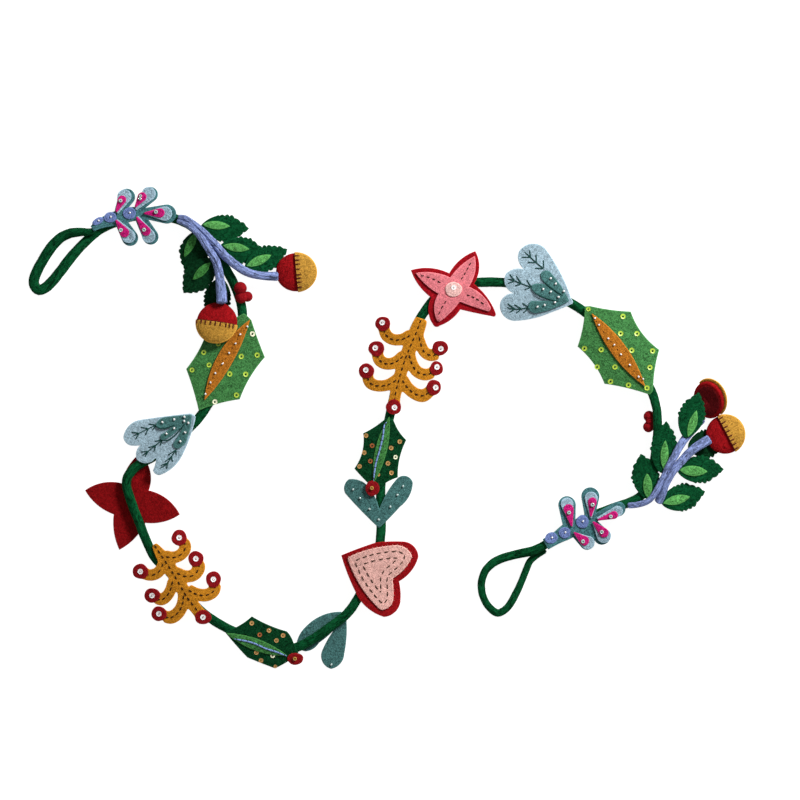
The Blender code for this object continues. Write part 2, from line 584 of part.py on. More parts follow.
HEART = (
    Corner(341.2, 555.2, 0.5),
    Corner(376.0, 542.3, 0.6),
    Corner(403.0, 541.4, 4.2),
    Corner(418.4, 556.6, 3.3),
    Corner(399.0, 581.2, 1.0),
    Corner(400.2, 603.0, 3.6),
    Corner(384.0, 616.8, 2.6),
    Corner(359.0, 598.4, 1.2),
)
HEART_TOP = (
    Corner(347.4, 557.4, 2.4),
    Corner(393.0, 545.2, 4.2),
    Corner(412.2, 556.4, 2.4),
    Corner(392.4, 578.2, 0.6),
    Corner(393.2, 600.0, 3.0),
    Corner(380.6, 609.6, 4.0),
)
HEART_RIDGE = Ridge(380.5, 541.0, 357.0, 594.0, 0.16, 0.0, 0.0)

LAID = []


def spot(x, y):
    """World place of a spot on the layout sheet, in millimetres."""
    return Vector((x - GARLAND_SPOT[0], GARLAND_SPOT[1] - y))


def smooth(rows, step):
    """Points of the same kind as the rows, read about every step from a smooth curve through them."""
    kind = type(rows[0])
    spans = [math.dist(a[:2], b[:2]) for a, b in zip(rows, rows[1:])]
    slopes = []
    for i in range(len(rows)):
        before = max(i - 1, 0)
        after = min(i + 1, len(rows) - 1)
        width = sum(spans[before:after])
        slopes.append([(q - p) / width for p, q in zip(rows[before], rows[after])])
    points = []
    for i, span in enumerate(spans):
        count = max(1, round(span / step))
        for k in range(count):
            t = k / count
            keep = 2 * t ** 3 - 3 * t ** 2 + 1
            leave = t ** 3 - 2 * t ** 2 + t
            reach = t ** 3 - t ** 2
            values = zip(rows[i], slopes[i], rows[i + 1], slopes[i + 1])
            points.append(kind(*[keep * p + leave * span * u + (1 - keep) * q + reach * span * v
                                 for p, u, q, v in values]))
    return points + [rows[-1]]


def arc(start, end, bow):
    """Points of a circular arc from start up to end, bowing to the left of travel by bow."""
    chord = end - start
    length = chord.length
    if abs(bow) < 0.05:
        count = max(1, round(length / STRAIGHT_STEP))
        return [start + chord * (k / count) for k in range(count)]
    half_angle = 2.0 * math.atan(2.0 * bow / length)
    radius = length / (2.0 * math.sin(half_angle))
    turn = math.degrees(2.0 * abs(half_angle))
    count = max(2, round(abs(2.0 * radius * half_angle) / ARC_STEP), math.ceil(turn / ARC_TURN))
    along = chord / length
    left = Vector((-along.y, along.x))
    middle = (start + end) / 2.0 - left * (radius - bow)
    angles = [half_angle * (2.0 * k / count - 1.0) for k in range(count)]
    return [middle + along * (radius * math.sin(a)) + left * (radius * math.cos(a)) for a in angles]


def arced(corners):
    """Closed outline through the corners; the side after each corner bows out by its bow."""
    points = [spot(c.x, c.y) for c in corners]
    outward = 1.0 if winding(points) < 0.0 else -1.0
    outline = []
    for corner, start, end in zip(corners, points, points[1:] + points[:1]):
        outline += arc(start, end, outward * corner.bow)
    return outline if outward < 0.0 else outline[::-1]


def lens(row):
    """Pointed outline between two ends, bow0 on the side after the first end, bow1 on the other."""
    return arced((Corner(row.x0, row.y0, row.bow0), Corner(row.x1, row.y1, row.bow1)))


def ellipse(row, grow=0.0):
    """Outline of a round piece, grown all round by grow."""
    count = max(10, round(math.tau * row.rx / DISC_STEP))
    turn = math.radians(row.turn)
    centre = spot(row.x, row.y)
    points = []
    for k in range(count):
        angle = math.tau * k / count
        across = (row.rx + grow) * math.cos(angle)
        up = (row.ry + grow) * math.sin(angle)
        points.append(centre + Vector((across * math.cos(turn) - up * math.sin(turn),
                                       across * math.sin(turn) + up * math.cos(turn))))
    return points


def teardrop(row):
    """Outline of a petal: two circles and the straight sides that touch both."""
    root = spot(row.root_x, row.root_y)
    tip = spot(row.tip_x, row.tip_y)
    along = (tip - root).normalized()
    heading = math.atan2(along.y, along.x)
    touch = math.acos((row.root_r - row.tip_r) / (tip - root).length)
    points = []
    for centre, radius, start, sweep in (
            (tip, row.tip_r, heading - touch, 2.0 * touch),
            (root, row.root_r, heading + touch, math.tau - 2.0 * touch)):
        count = max(2, round(radius * sweep / PETAL_STEP))
        for k in range(count + 1):
            angle = start + sweep * k / count
            points.append(centre + radius * Vector((math.cos(angle), math.sin(angle))))
    return points


def strip(rows):
    """Outline of a strip of changing width along a smooth line, with blunt ends."""
    line = smooth(rows, ARC_STEP)
    spots = [spot(p.x, p.y) for p in line]
    left = []
    right = []
    for i, (place, row) in enumerate(zip(spots, line)):
        along = (spots[min(i + 1, len(spots) - 1)] - spots[max(i - 1, 0)]).normalized()
        across = Vector((-along.y, along.x)) * row.half
        left.append(place + across)
        right.append(place - across)
    return right + left[::-1]


def serrated(leaf):
    """Outline of a leaf: pointed at both ends, with saw teeth along its outer half."""
    base = spot(leaf.x0, leaf.y0)
    tip = spot(leaf.x1, leaf.y1)
    along = tip - base
    across = Vector((-along.y, along.x)).normalized()

    def edge(share, reach):
        half = 0.5 * leaf.width * math.sin(math.pi * share) ** LEAF_FULLNESS + reach
        return base + along * share, across * half

    rows = [edge(share, 0.0) for share in (0.1, 0.2, 0.32, LEAF_TOOTHED_FROM)]
    tooth = (0.95 - LEAF_TOOTHED_FROM) / LEAF_TEETH
    for k in range(LEAF_TEETH):
        valley = LEAF_TOOTHED_FROM + tooth * (k + 1)
        rows.append(edge(valley - 0.35 * tooth, TOOTH_OUT))
        rows.append(edge(valley, -TOOTH_IN))
    left = [place + out for place, out in rows]
    right = [place - out for place, out in rows]
    return [base] + right + [tip] + left[::-1]


def winding(loop):
    """Twice the area inside a closed outline, negative where it runs clockwise."""
    return sum(a.cross(b) for a, b in zip(loop, loop[1:] + loop[:1]))


def chained(edges):
    """The longest closed loop that a set of point pairs makes."""
    following = {}
    for a, b in edges:
        following[a] = b
    loops = []
    while following:
        start, point = following.popitem()
        loop = [start]
        while point != start:
            loop.append(point)
            point = following.pop(point)
        loops.append(loop)
    return max(loops, key=len)


def joined(loops):
    """One outline around several overlapping ones, without points that nearly coincide."""
    points = []
    faces = []
    for loop in loops:
        faces.append(list(range(len(points), len(points) + len(loop))))
        points += loop if winding(loop) > 0.0 else loop[::-1]
    found = delaunay_2d_cdt(points, [], faces, 1, 0.001)
    places = found[0]
    inside = [face for face, sources in zip(found[2], found[5]) if sources]
    sides = {(a, b) for face in inside for a, b in zip(face, list(face[1:]) + [face[0]])}
    loop = [places[i] for i in chained([(a, b) for a, b in sides if (b, a) not in sides])]
    kept = []
    for place in loop:
        if not kept or (place - kept[-1]).length > SEAM_MERGE:
            kept.append(place)
    if (kept[0] - kept[-1]).length <= SEAM_MERGE:
        kept.pop()
    return kept


def inset(loop, distance):
    """The outline moved inward by a distance."""
    inward = math.copysign(distance, winding(loop))
    moved = []
    for before, place, after in zip(loop[-1:] + loop[:-1], loop, loop[1:] + loop[:1]):
        along = ((place - before).normalized() + (after - place).normalized()).normalized()
        moved.append(place + Vector((-along.y, along.x)) * inward)
    return moved


def contains(loop, place):
    """Whether a place lies inside a closed outline."""
    inside = False
    for a, b in zip(loop, loop[1:] + loop[:1]):
        if (a.y > place.y) != (b.y > place.y):
            if place.x < a.x + (place.y - a.y) * (b.x - a.x) / (b.y - a.y):
                inside = not inside
    return inside


def edge_distance(loop, place):
    """Distance from a place to the nearest side of an outline."""
    nearest = math.inf
    for a, b in zip(loop, loop[1:] + loop[:1]):
        side = b - a
        share = max(0.0, min(1.0, (place - a).dot(side) / max(side.length_squared, 1e-9)))
        nearest = min(nearest, (place - a - side * share).length)
    return nearest


def patch(loop):
    """A raised patch: its edge, its upper edge, and the line that tells its points from the rest."""
    return Patch(loop, inset(loop, RIM_STEP), inset(loop, 0.8 * RIM_STEP))


def ridge_height(row):
    """Height of a sheet that bends over a straight ridge and falls away to both sides.

    The height is minus fall times (sqrt(d^2 + r^2) - r), d being the distance from the ridge and r its
    roundness, minus pitch times the way along the ridge. Rise lifts the ridge's first end over a thick
    spot and dies away along it. A low wave grows toward the free edges.
    """
    start = spot(row.x0, row.y0)
    along = (spot(row.x1, row.y1) - start).normalized()

    def height(place):
        way = (place - start).dot(along)
        off = (place - start).cross(along)
        drop = row.fall * (math.hypot(off, RIDGE_ROUND) - RIDGE_ROUND)
        wave = RIPPLE * math.sin(math.tau * way / RIPPLE_LENGTH) * min(1.0, abs(off) / RIPPLE_REACH)
        lifted = row.rise * math.exp(-max(way, 0.0) / RISE_LENGTH)
        return wave + lifted - drop - row.pitch * way

    return height


def flat(_place):
    """Height of a sheet that lies flat on the table, the same at every place."""
    return 0.0


def paint(piece, colour):
    """Give a piece its own felt material."""
    material = bpy.data.materials.new(piece.name + "_felt")
    material.use_nodes = True
    shader = material.node_tree.nodes["Principled BSDF"]
    shader.inputs["Base Color"].default_value = (*colour, 1.0)
    shader.inputs["Roughness"].default_value = 0.95
    shader.inputs["Metallic"].default_value = 0.0
    material.diffuse_color = (*colour, 1.0)
    piece.data.materials.append(material)


def add(name, data, colour):
    """Add a piece to the scene."""
    piece = bpy.data.objects.new(name, data)
    bpy.context.scene.collection.objects.link(piece)
    paint(piece, colour)
    return piece


def felt(name, outline, height, thickness, colour, patches=()):
    """A felt cut-out: its outline filled with points, bent to a height, and given its thickness."""
    points = list(outline)
    edges = []
    for loop in [ring for p in patches for ring in (p.outer, p.inner)]:
        first = len(points)
        points += loop
        edges += [(first + k, first + (k + 1) % len(loop)) for k in range(len(loop))]
    keep_off = [outline] + [p.inner for p in patches]
    low = Vector((min(p.x for p in outline), min(p.y for p in outline)))
    high = Vector((max(p.x for p in outline), max(p.y for p in outline)))
    row_step = GRID * math.sqrt(3.0) / 2.0
    for j in range(int((high.y - low.y) / row_step) + 1):
        for i in range(int((high.x - low.x) / GRID) + 1):
            place = low + Vector(((i + 0.5 * (j % 2)) * GRID, j * row_step))
            if not contains(outline, place):
                continue
            if all(edge_distance(loop, place) > EDGE_CLEAR for loop in keep_off):
                points.append(place)
    found = delaunay_2d_cdt(points, edges, [list(range(len(outline)))], 1, 0.001)

    shape = bmesh.new()
    places = [Vector(p) for p in found[0]]
    under = [shape.verts.new((p.x * MM, p.y * MM, (height(p) - thickness / 2.0) * MM)) for p in places]
    for face in found[2]:
        shape.faces.new([under[i] for i in face])
    made = bmesh.ops.extrude_face_region(shape, geom=list(shape.faces), use_keep_orig=True)
    for vert in [v for v in made["geom"] if isinstance(v, bmesh.types.BMVert)]:
        place = Vector((vert.co.x, vert.co.y)) / MM
        rise = thickness
        if any(contains(p.guard, place) for p in patches):
            rise += RAISED
        vert.co.z += rise * MM
    bmesh.ops.recalc_face_normals(shape, faces=list(shape.faces))
    mesh = bpy.data.meshes.new(name)
    shape.to_mesh(mesh)
    shape.free()
    return add(name, mesh, colour)


def tube(name, rows, colour):
    """A round cord or rolled stem along points, its thickness following theirs."""
    curve = bpy.data.curves.new(name, "CURVE")
    curve.dimensions = "3D"
    curve.bevel_depth = MM
    curve.bevel_resolution = 3
    curve.use_fill_caps = True
    line = curve.splines.new("POLY")
    line.points.add(len(rows) - 1)
    for point, row in zip(line.points, rows):
        place = spot(row.x, row.y) * MM
        point.co = (place.x, place.y, row.z * MM, 1.0)
        point.radius = row.radius
    return add(name, curve, colour)


def spaced(rows):
    """Thin out a smooth line: long steps where it runs straight, short ones where it bends."""
    line = smooth(rows, 1.5)
    spots = [Vector((p.x, p.y, p.z)) for p in line]
    kept = [line[0]]
    last = 0
    for i in range(1, len(line) - 1):
        travelled = (spots[i] - spots[last]).length
        bend = math.degrees((spots[i] - spots[i - 1]).angle(spots[last + 1] - spots[last]))
        if travelled >= ROPE_STEP or (bend >= ROPE_TURN and travelled >= ROPE_MIN_STEP):
            kept.append(line[i])
            last = i
    if (spots[-1] - spots[last]).length < ROPE_MIN_STEP:
        kept.pop()
    return kept + [line[-1]]


def crown(share):
    """Height of a bud's upper side at a share of its radius, falling on outside its rim."""
    inner = min(share, CROWN_EDGE)
    height = BUD_EQUATOR + (BUD_HEIGHT - BUD_EQUATOR) * math.sqrt(1.0 - inner ** 2)
    return height - SIDE_SLOPE * (share - inner)


def bud_pad(bud):
    """The stuffed red pad: a turned shape with a flat underside, a rounded rim and a low crown."""
    radius = bud.rx - CAP_OVERHANG
    profile = [Vector((0.0, 0.0)), Vector((BUD_FLAT_SHARE * radius, 0.0)),
               Vector((BUD_HEEL_SHARE * radius, BUD_HEEL_HEIGHT))]
    for k in range(BUD_RINGS + 1):
        share = math.cos(0.5 * math.pi * k / BUD_RINGS)
        profile.append(Vector((share * radius, crown(share) if k else BUD_EQUATOR)))
    profile[-1].x = 0.0
    shape = bmesh.new()
    verts = [shape.verts.new((p.x * MM, 0.0, p.y * MM)) for p in profile]
    edges = [shape.edges.new(pair) for pair in zip(verts, verts[1:])]
    bmesh.ops.spin(shape, geom=verts + edges, cent=(0.0, 0.0, 0.0), axis=(0.0, 0.0, 1.0),
                   angle=math.tau, steps=BUD_SIDES, use_merge=True)
    bmesh.ops.remove_doubles(shape, verts=list(shape.verts), dist=1e-6)
    for vert in shape.verts:
        vert.co.y *= (bud.ry - CAP_OVERHANG) / radius
    bmesh.ops.recalc_face_normals(shape, faces=list(shape.faces))
    mesh = bpy.data.meshes.new(bud.name)
    shape.to_mesh(mesh)
    shape.free()
    mesh.shade_smooth()
    return add(bud.name, mesh, BUD_RED)


def bud_cap(bud):
    """The yellow half cap that is sewn over one side of the pad, up to the seam across it."""
    centre = spot(bud.x, bud.y)
    start = spot(bud.seam_x0, bud.seam_y0) - centre
    end = spot(bud.seam_x1, bud.seam_y1) - centre
    first = math.atan2(start.y / bud.ry, start.x / bud.rx)
    last = math.atan2(end.y / bud.ry, end.x / bud.rx)
    sweep = (last - first) % math.tau
    count = round(sweep * bud.rx / CAP_STEP)
    rim = []
    for k in range(count + 1):
        angle = first + sweep * k / count
        rim.append(Vector((bud.rx * math.cos(angle), bud.ry * math.sin(angle))))
    chord = rim[0] - rim[-1]
    seam = [rim[-1] + chord * (k / (SEAM_POINTS + 1)) for k in range(1, SEAM_POINTS + 1)]

    def height(place):
        share = math.hypot(place.x / (bud.rx - CAP_OVERHANG), place.y / (bud.ry - CAP_OVERHANG))
        return crown(share) + AIR + THIN_FELT / 2.0

    return felt(bud.name + "_cap", rim + seam, height, THIN_FELT, BUD_YELLOW)


def skin(piece):
    """World points along a piece's edges, in millimetres, and a tree to search its faces."""
    bpy.context.view_layer.update()
    evaluated = piece.evaluated_get(bpy.context.evaluated_depsgraph_get())
    mesh = evaluated.to_mesh()
    corners = [piece.matrix_world @ v.co / MM for v in mesh.vertices]
    faces = [tuple(p.vertices) for p in mesh.polygons]
    points = list(corners)
    for edge in mesh.edges:
        a, b = (corners[i] for i in edge.vertices)
        count = int((b - a).length / TOUCH_STEP)
        points += [a.lerp(b, (k + 1) / (count + 1)) for k in range(count)]
    evaluated.to_mesh_clear()
    return points, BVHTree.FromPolygons(corners, faces)


def clearance(piece_skin, below_skin):
    """How far a piece must rise to lie AIR above another, minus infinity where they don't meet."""
    points, tree = piece_skin
    below_points, below_tree = below_skin
    rise = -math.inf
    for point in points:
        hit = below_tree.ray_cast(Vector((point.x, point.y, FAR)), Vector((0.0, 0.0, -1.0)))[0]
        if hit:
            rise = max(rise, hit.z + AIR - point.z)
    for point in below_points:
        hit = tree.ray_cast(Vector((point.x, point.y, -FAR)), Vector((0.0, 0.0, 1.0)))[0]
        if hit:
            rise = max(rise, point.z + AIR - hit.z)
    return rise


def put(*pieces):
    """Note where pieces lie, for those that are laid on them later."""
    for piece in pieces:
        LAID.append(skin(piece))


def lay(*pieces):
    """Lower a piece, with the ones fixed to it, onto the table or onto all that lies there."""
    skins = [skin(piece) for piece in pieces]
    rise = -min(point.z for points, _ in skins for point in points)
    for one in skins:
        for below in LAID:
            rise = max(rise, clearance(one, below))
    pieces[0].location.z += rise * MM
    put(*pieces)


def seat_on(piece, carrier):
    """Raise or lower a piece until it lies on one other piece."""
    piece.location.z += clearance(skin(piece), skin(carrier)) * MM


def lay_leaf(leaf):
    """A serrated leaf, folded to the left of its midline by its fold, and pitched down to its tip."""
    length = math.hypot(leaf.x1 - leaf.x0, leaf.y1 - leaf.y0)
    across_x = leaf.fold * (leaf.y1 - leaf.y0) / length
    across_y = leaf.fold * (leaf.x0 - leaf.x1) / length
    height = ridge_height(Ridge(leaf.x0 + across_x, leaf.y0 + across_y, leaf.x1 + across_x,
                                leaf.y1 + across_y, leaf.fall, leaf.pitch, 0.0))
    patches = [patch(lens(leaf.vein))] if leaf.vein else []
    lay(felt(leaf.name, serrated(leaf), height, FELT, LEAF_GREEN, patches))


def lay_bud(bud):
    """A stuffed bud with its half cap, tilted to one side, or turned over on its face."""
    pad = bud_pad(bud)
    cap = bud_cap(bud)
    seat_on(cap, pad)
    cap.parent = pad
    centre = spot(bud.x, bud.y) * MM
    pad.location = (centre.x, centre.y, 0.0)
    pad.rotation_mode = "AXIS_ANGLE"
    heading = math.radians(bud.heading)
    if bud.face_down:
        across = Vector((-math.sin(heading), math.cos(heading), 0.0))
        turn = math.pi - math.radians(bud.tilt)
        pad.rotation_axis_angle = (turn, across.x, across.y, 0.0)
    else:
        across = Vector((math.sin(heading), -math.cos(heading), 0.0))
        pad.rotation_axis_angle = (math.radians(bud.tilt), across.x, across.y, 0.0)
    lay(pad, cap)


def berries(name, balls):
    """Felt balls pressed into one cluster."""
    pieces = []
    for k, ball in enumerate(balls):
        shape = bmesh.new()
        bmesh.ops.create_uvsphere(shape, u_segments=BERRY_SIDES, v_segments=BERRY_RINGS,
                                  radius=ball.radius * MM)
        mesh = bpy.data.meshes.new(f"{name}_{k}")
        shape.to_mesh(mesh)
        shape.free()
        mesh.shade_smooth()
        piece = add(name if k == 0 else f"{name}_{k}", mesh, BUD_RED)
        place = spot(ball.x, ball.y) * MM
        piece.location = (place.x, place.y, ball.z * MM)
        pieces.append(piece)
    for other in pieces[1:]:
        other.hide_render = True
        other.display_type = "WIRE"
        other.parent = pieces[0]
        other.location -= pieces[0].location
        union = pieces[0].modifiers.new("press", "BOOLEAN")
        union.operation = "UNION"
        union.solver = "EXACT"
        union.object = other
    return pieces[0]


def sprig(side, stem, petals, tops, discs, ridge):
    """A teal sprig over the rope, with a light blue petal on each of its five petals."""
    height = ridge_height(ridge)
    outline = joined([strip(stem)] + [teardrop(p) for p in petals] + [ellipse(d) for d in discs])
    patches = [patch(ellipse(d)) for d in discs]
    lay(felt("sprig_" + side, outline, height, FELT, TEAL, patches))
    for k, top in enumerate(tops, 1):
        lay(felt(f"petal_{side}_{k}", teardrop(top), height, THIN_FELT, LIGHT_BLUE))


def pair(base, base_rows, top, top_outline, ridge, base_colour, top_colour):
    """A base cut-out over the rope with a smaller cut-out sewn on it."""
    height = ridge_height(ridge)
    lay(felt(base, arced(base_rows), height, FELT, base_colour))
    lay(felt(top, top_outline, height, THIN_FELT, top_colour))


def branch(name, spine, arms, discs, ridge):
    """A mustard branch of six curled arms, with a red disc on each tip."""
    loops = [strip(spine)] + [strip(arm) for arm in arms] + [ellipse(d) for d in discs]
    patches = [patch(ellipse(d)) for d in discs]
    lay(felt(name, joined(loops), ridge_height(ridge), FELT, MUSTARD, patches))


def small_holly(name, rows, vein, disc, ridge):
    """A dark holly leaf with a raised vein and a red disc at its end."""
    outline = joined([arced(rows), ellipse(disc)])
    patches = [patch(lens(vein)), patch(ellipse(disc))]
    lay(felt(name, outline, ridge_height(ridge), FELT, LEAF_GREEN, patches))


def clear_scene():
    """Remove what the file holds."""
    for old in list(bpy.data.objects):
        bpy.data.objects.remove(old, do_unlink=True)


def main():
    """Lay the garland from the table top upward."""
    clear_scene()
    LAID.clear()
    lay(felt("star_back", arced(STAR_BACK), flat, FELT, STAR_RED))
    lay(felt("twin_leaf_back", arced(TWIN_LEAF_BACK), flat, FELT, TEAL))
    lay(berries("berries_right", BERRIES_RIGHT))
    lay(tube("rope", spaced(ROPE), ROPE_GREEN))

    sprig("left", SPRIG_LEFT_STEM, SPRIG_LEFT_PETALS, SPRIG_LEFT_TOPS, SPRIG_LEFT_DISCS,
          SPRIG_LEFT_RIDGE)
    sprig("right", SPRIG_RIGHT_STEM, SPRIG_RIGHT_PETALS, SPRIG_RIGHT_TOPS, SPRIG_RIGHT_DISCS,
          SPRIG_RIGHT_RIDGE)
    for leaf in LEAVES_LEFT_LOW + LEAVES_RIGHT_LOW:
        lay_leaf(leaf)
    pair("holly_left", HOLLY_LEFT, "holly_left_rib", lens(HOLLY_LEFT_RIB), HOLLY_LEFT_RIDGE,
         HOLLY_GREEN, MIDRIB_ORANGE)
    pair("holly_right", HOLLY_RIGHT, "holly_right_rib", lens(HOLLY_RIGHT_RIB), HOLLY_RIGHT_RIDGE,
         HOLLY_GREEN, MIDRIB_ORANGE)
    lay(berries("berries_left", BERRIES_LEFT))
    for bud in BUDS_LEFT + BUDS_RIGHT:
        lay_bud(bud)
    for name, rows in STEMS:
        lay(tube(name, rows, LILAC))
    lay_leaf(LEAF_RIGHT_TOP)

    pair("lobes_left", LOBES_LEFT, "fingers_left", arced(FINGERS_LEFT), LOBES_LEFT_RIDGE,
         LIGHT_BLUE, TEAL)
    pair("lobes_right", LOBES_RIGHT, "fingers_right", arced(FINGERS_RIGHT), LOBES_RIGHT_RIDGE,
         LIGHT_BLUE, TEAL)
    branch("branch_left", BRANCH_LEFT_SPINE, BRANCH_LEFT_ARMS, BRANCH_LEFT_DISCS, BRANCH_LEFT_RIDGE)
    branch("branch_right", BRANCH_RIGHT_SPINE, BRANCH_RIGHT_ARMS, BRANCH_RIGHT_DISCS,
           BRANCH_RIGHT_RIDGE)
    lay(felt("star_front", arced(STAR_FRONT), ridge_height(STAR_RIDGE), FELT, STAR_RED))
    lay(felt("star_pink", arced(STAR_PINK_TOP), ridge_height(STAR_RIDGE), THIN_FELT, STAR_PINK,
             [patch(ellipse(STAR_DISC))]))
    lay(felt("twin_leaf_front", arced(TWIN_LEAF_FRONT), ridge_height(TWIN_LEAF_FRONT_RIDGE), FELT,
             TEAL))
    small_holly("small_holly_left", SMALL_HOLLY_LEFT, SMALL_HOLLY_LEFT_VEIN, SMALL_HOLLY_LEFT_DISC,
                SMALL_HOLLY_LEFT_RIDGE)
    small_holly("small_holly_right", SMALL_HOLLY_RIGHT, SMALL_HOLLY_RIGHT_VEIN,
                SMALL_HOLLY_RIGHT_DISC, SMALL_HOLLY_RIGHT_RIDGE)
    pair("heart", HEART, "heart_top", arced(HEART_TOP), HEART_RIDGE, STAR_RED, HEART_PINK)


main()
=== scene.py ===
"""Looks of the felt flower garland.

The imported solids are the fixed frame. Every solid is replaced by a finer piece of the same shape: felt
cut-outs with rounded edges and a fibrous surface, a felted rope, rolled stems, stuffed buds and felt
balls. Beads, sequins, stitches, embroidery and yarn are added on top.

Places in the tables are millimetres on the layout sheet, an 800 mm square seen from above, x to the
right and y down. Surfaces are worked out in millimetres in the frame's axes, and meshes are in metres.
The tables hold these kinds of row:
    corner: x, y, and how far the side after it bows out
    strip: x, y and half the width
    drop: x, y and radius of a petal's root, then x, y and radius of its tip
    disc: x, y, two radii and a turn in degrees
    lens: x and y of both ends, and the bows of both sides
"""

import logging
import math
from collections.abc import Callable, Sequence
from dataclasses import dataclass, field, replace
from enum import Enum
from functools import cache

import bpy
import numpy as np
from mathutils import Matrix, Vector
from mathutils.geometry import delaunay_2d_cdt

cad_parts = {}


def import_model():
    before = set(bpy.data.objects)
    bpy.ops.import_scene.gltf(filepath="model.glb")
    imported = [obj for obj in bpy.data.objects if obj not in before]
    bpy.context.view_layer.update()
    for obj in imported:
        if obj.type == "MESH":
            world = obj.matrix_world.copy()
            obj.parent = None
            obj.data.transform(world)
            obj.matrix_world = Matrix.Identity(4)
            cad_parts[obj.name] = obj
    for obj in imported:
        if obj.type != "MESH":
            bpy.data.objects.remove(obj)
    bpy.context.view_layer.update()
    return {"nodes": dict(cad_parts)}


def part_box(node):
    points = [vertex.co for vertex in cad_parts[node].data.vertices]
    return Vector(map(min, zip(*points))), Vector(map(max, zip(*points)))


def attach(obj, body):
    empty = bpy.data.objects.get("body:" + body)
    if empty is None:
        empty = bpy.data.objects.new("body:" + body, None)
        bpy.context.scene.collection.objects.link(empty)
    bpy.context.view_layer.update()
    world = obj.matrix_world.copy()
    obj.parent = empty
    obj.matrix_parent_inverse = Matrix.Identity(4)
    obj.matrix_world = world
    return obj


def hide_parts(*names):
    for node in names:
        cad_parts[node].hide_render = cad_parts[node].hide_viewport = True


LOG = logging.getLogger("garland")

Array = np.ndarray
HeightField = Callable[[Array], Array]
Row = tuple[float, ...]
Table = Sequence[Sequence[float]]
Piece = bpy.types.Object
Socket = bpy.types.NodeSocket

MM = 0.001
SHEET_MIDDLE = (387.15, 428.05)
BODY = "root"

# Felt cut-outs, in millimetres
FELT = 1.8
THIN_FELT = 1.4
TRIM_FELT = 1.1
TRIM_AIR = 0.05
TRIM_CROWN = 0.35
RIDGE_ROUND = 14.0
RIPPLE = 0.6
RIPPLE_LENGTH = 52.0
RIPPLE_REACH = 25.0
RISE_LENGTH = 15.0
PITCH = 1.7
EDGE_ROUND = 0.8
EDGE_DEPTHS = (0.3, 0.8)
CROWN_REACH = 2.2
LUMP = 0.1
LUMP_LENGTH = 17.0
FAR_INSIDE = 9.0
STRAIGHT = 0.05
OUTLINE_STEP = 1.5
SIDE_STEP = 1.8
MERGE_GAP = 0.35
SLOPE_REACH = 0.8
THREAD_STEP = 1.1
STITCH_STEP = 0.8

# Buds
BUD_HEIGHT = 8.0
BUD_EQUATOR = 2.6
BUD_SIDES = 96
CROWN_EDGE = 0.985
SIDE_SLOPE = 18.0
BUD_LUMP = 0.22
BUD_LUMP_LENGTH = 11.0
CAP_OVERHANG = 0.9
CAP_AIR = 0.45
CAP_STEPS = 46
TURNED_REACH = 2.2
TURNED_SLOPE = -1.5
SEAM_REACH = 4.8

# Stray fibres and the pattern of the wool
HAIRS_IN_SQUARE_CM = 13.0
HAIR_RADIUS = 0.055
HAIR_LENGTH = (1.4, 3.6)
HAIR_CURL = (-0.6, 0.6)
HAIR_HEIGHT = (0.12, 0.4)
HAIR_POINTS = 6
STRAND_WIDTH = 0.03
TONE_LEAST = 0.06
PATCHES_IN_METRE = 90.0
SWIRLS_IN_METRE = 300.0
FIBRES_IN_METRE = 1050.0
GAPS_IN_METRE = 210.0
STRAYS_IN_METRE = 330.0
PLIES_IN_METRE = 260.0

# Beads and sequins, as shares of their size
BEAD_RING = 0.31
BEAD_HALF_WALL = 0.19
BEAD_HALF_HEIGHT = 0.36
BEAD_SEAT = 0.44
UPRIGHT_SEAT = 0.3
SEQUIN_SIZE = 0.94

# On a disc: a bead's offset from the middle and its diameter, and a sequin's radius, in millimetres
DISC_PIP = (0.6, -0.4, 2.2)
DISC_DROP = (-0.4, -0.3, 4.2)
DISC_SEQUIN = 3.0

# Threads: radii, lengths and distances in millimetres; a dash is a stitch and the gap after it
STITCH = 0.66
FINE_STITCH = 0.34
BRANCH_DASH = (3.6, 2.6)
STAR_DASH = (3.4, 2.4)
STAR_STITCH = 0.55
HEART_DASH = (4.9, 2.5)
HEART_STITCH = 0.56
HEART_RINGS = (5.9, 12.2)
WHIP_PITCH = 5.0
WHIP_STITCH = 0.6
WHIP_INWARD = 1.9
WHIP_OUTWARD = 0.8
WHIP_RADIUS = 0.36
MARK_RADIUS = 0.36
MARK_HALF = 0.9
FERN_STEP = 0.4
FERN_RADIUS = 0.56
BARB_LEAD = 6.6
EDGE_THREAD = 0.6
YARN_RADIUS = 0.85
COUCH_PITCH = 5.5
COUCH_STITCH = 0.8
COUCH_REACH = 1.5
COUCH_RADIUS = 0.32
ON_DISC = TRIM_FELT + 0.2

# Camera and studio, in metres; the lens in millimetres
WHITE = (1.0, 1.0, 1.0, 1.0)
SENSOR = 36.0
LENS = 180.0
PICTURE_WIDTH = 0.8
PICTURE_MIDDLE = (400.0, 400.0)
HALF_WAY_UP = 0.006
FLOOR_HALF = 6.0
FLOOR_HEIGHT = -0.0004
SKY_LIGHT = 0.27


class Surface(Enum):
    """Kinds of surface that a finish can have."""

    FELT = "felt"
    ROLL = "roll"
    THREAD = "thread"
    BEAD = "bead"
    SEQUIN = "sequin"
    FLOOR = "floor"


@dataclass(frozen=True)
class Finish:
    """Look of one material.

    Attributes:
        slot: Slot of the record that pieces take their finish from.
        colour: Main colour, as a hex number in display colours.
        contrast: How far the fibres differ from the main colour.
        rim: How much lighter a cut edge is: partly its fuzz, partly a painted highlight where the edge
            catches the light.
        surface: Kind of surface.
    """

    slot: str
    colour: str
    contrast: float = 0.5
    rim: float = 0.2
    surface: Surface = Surface.FELT


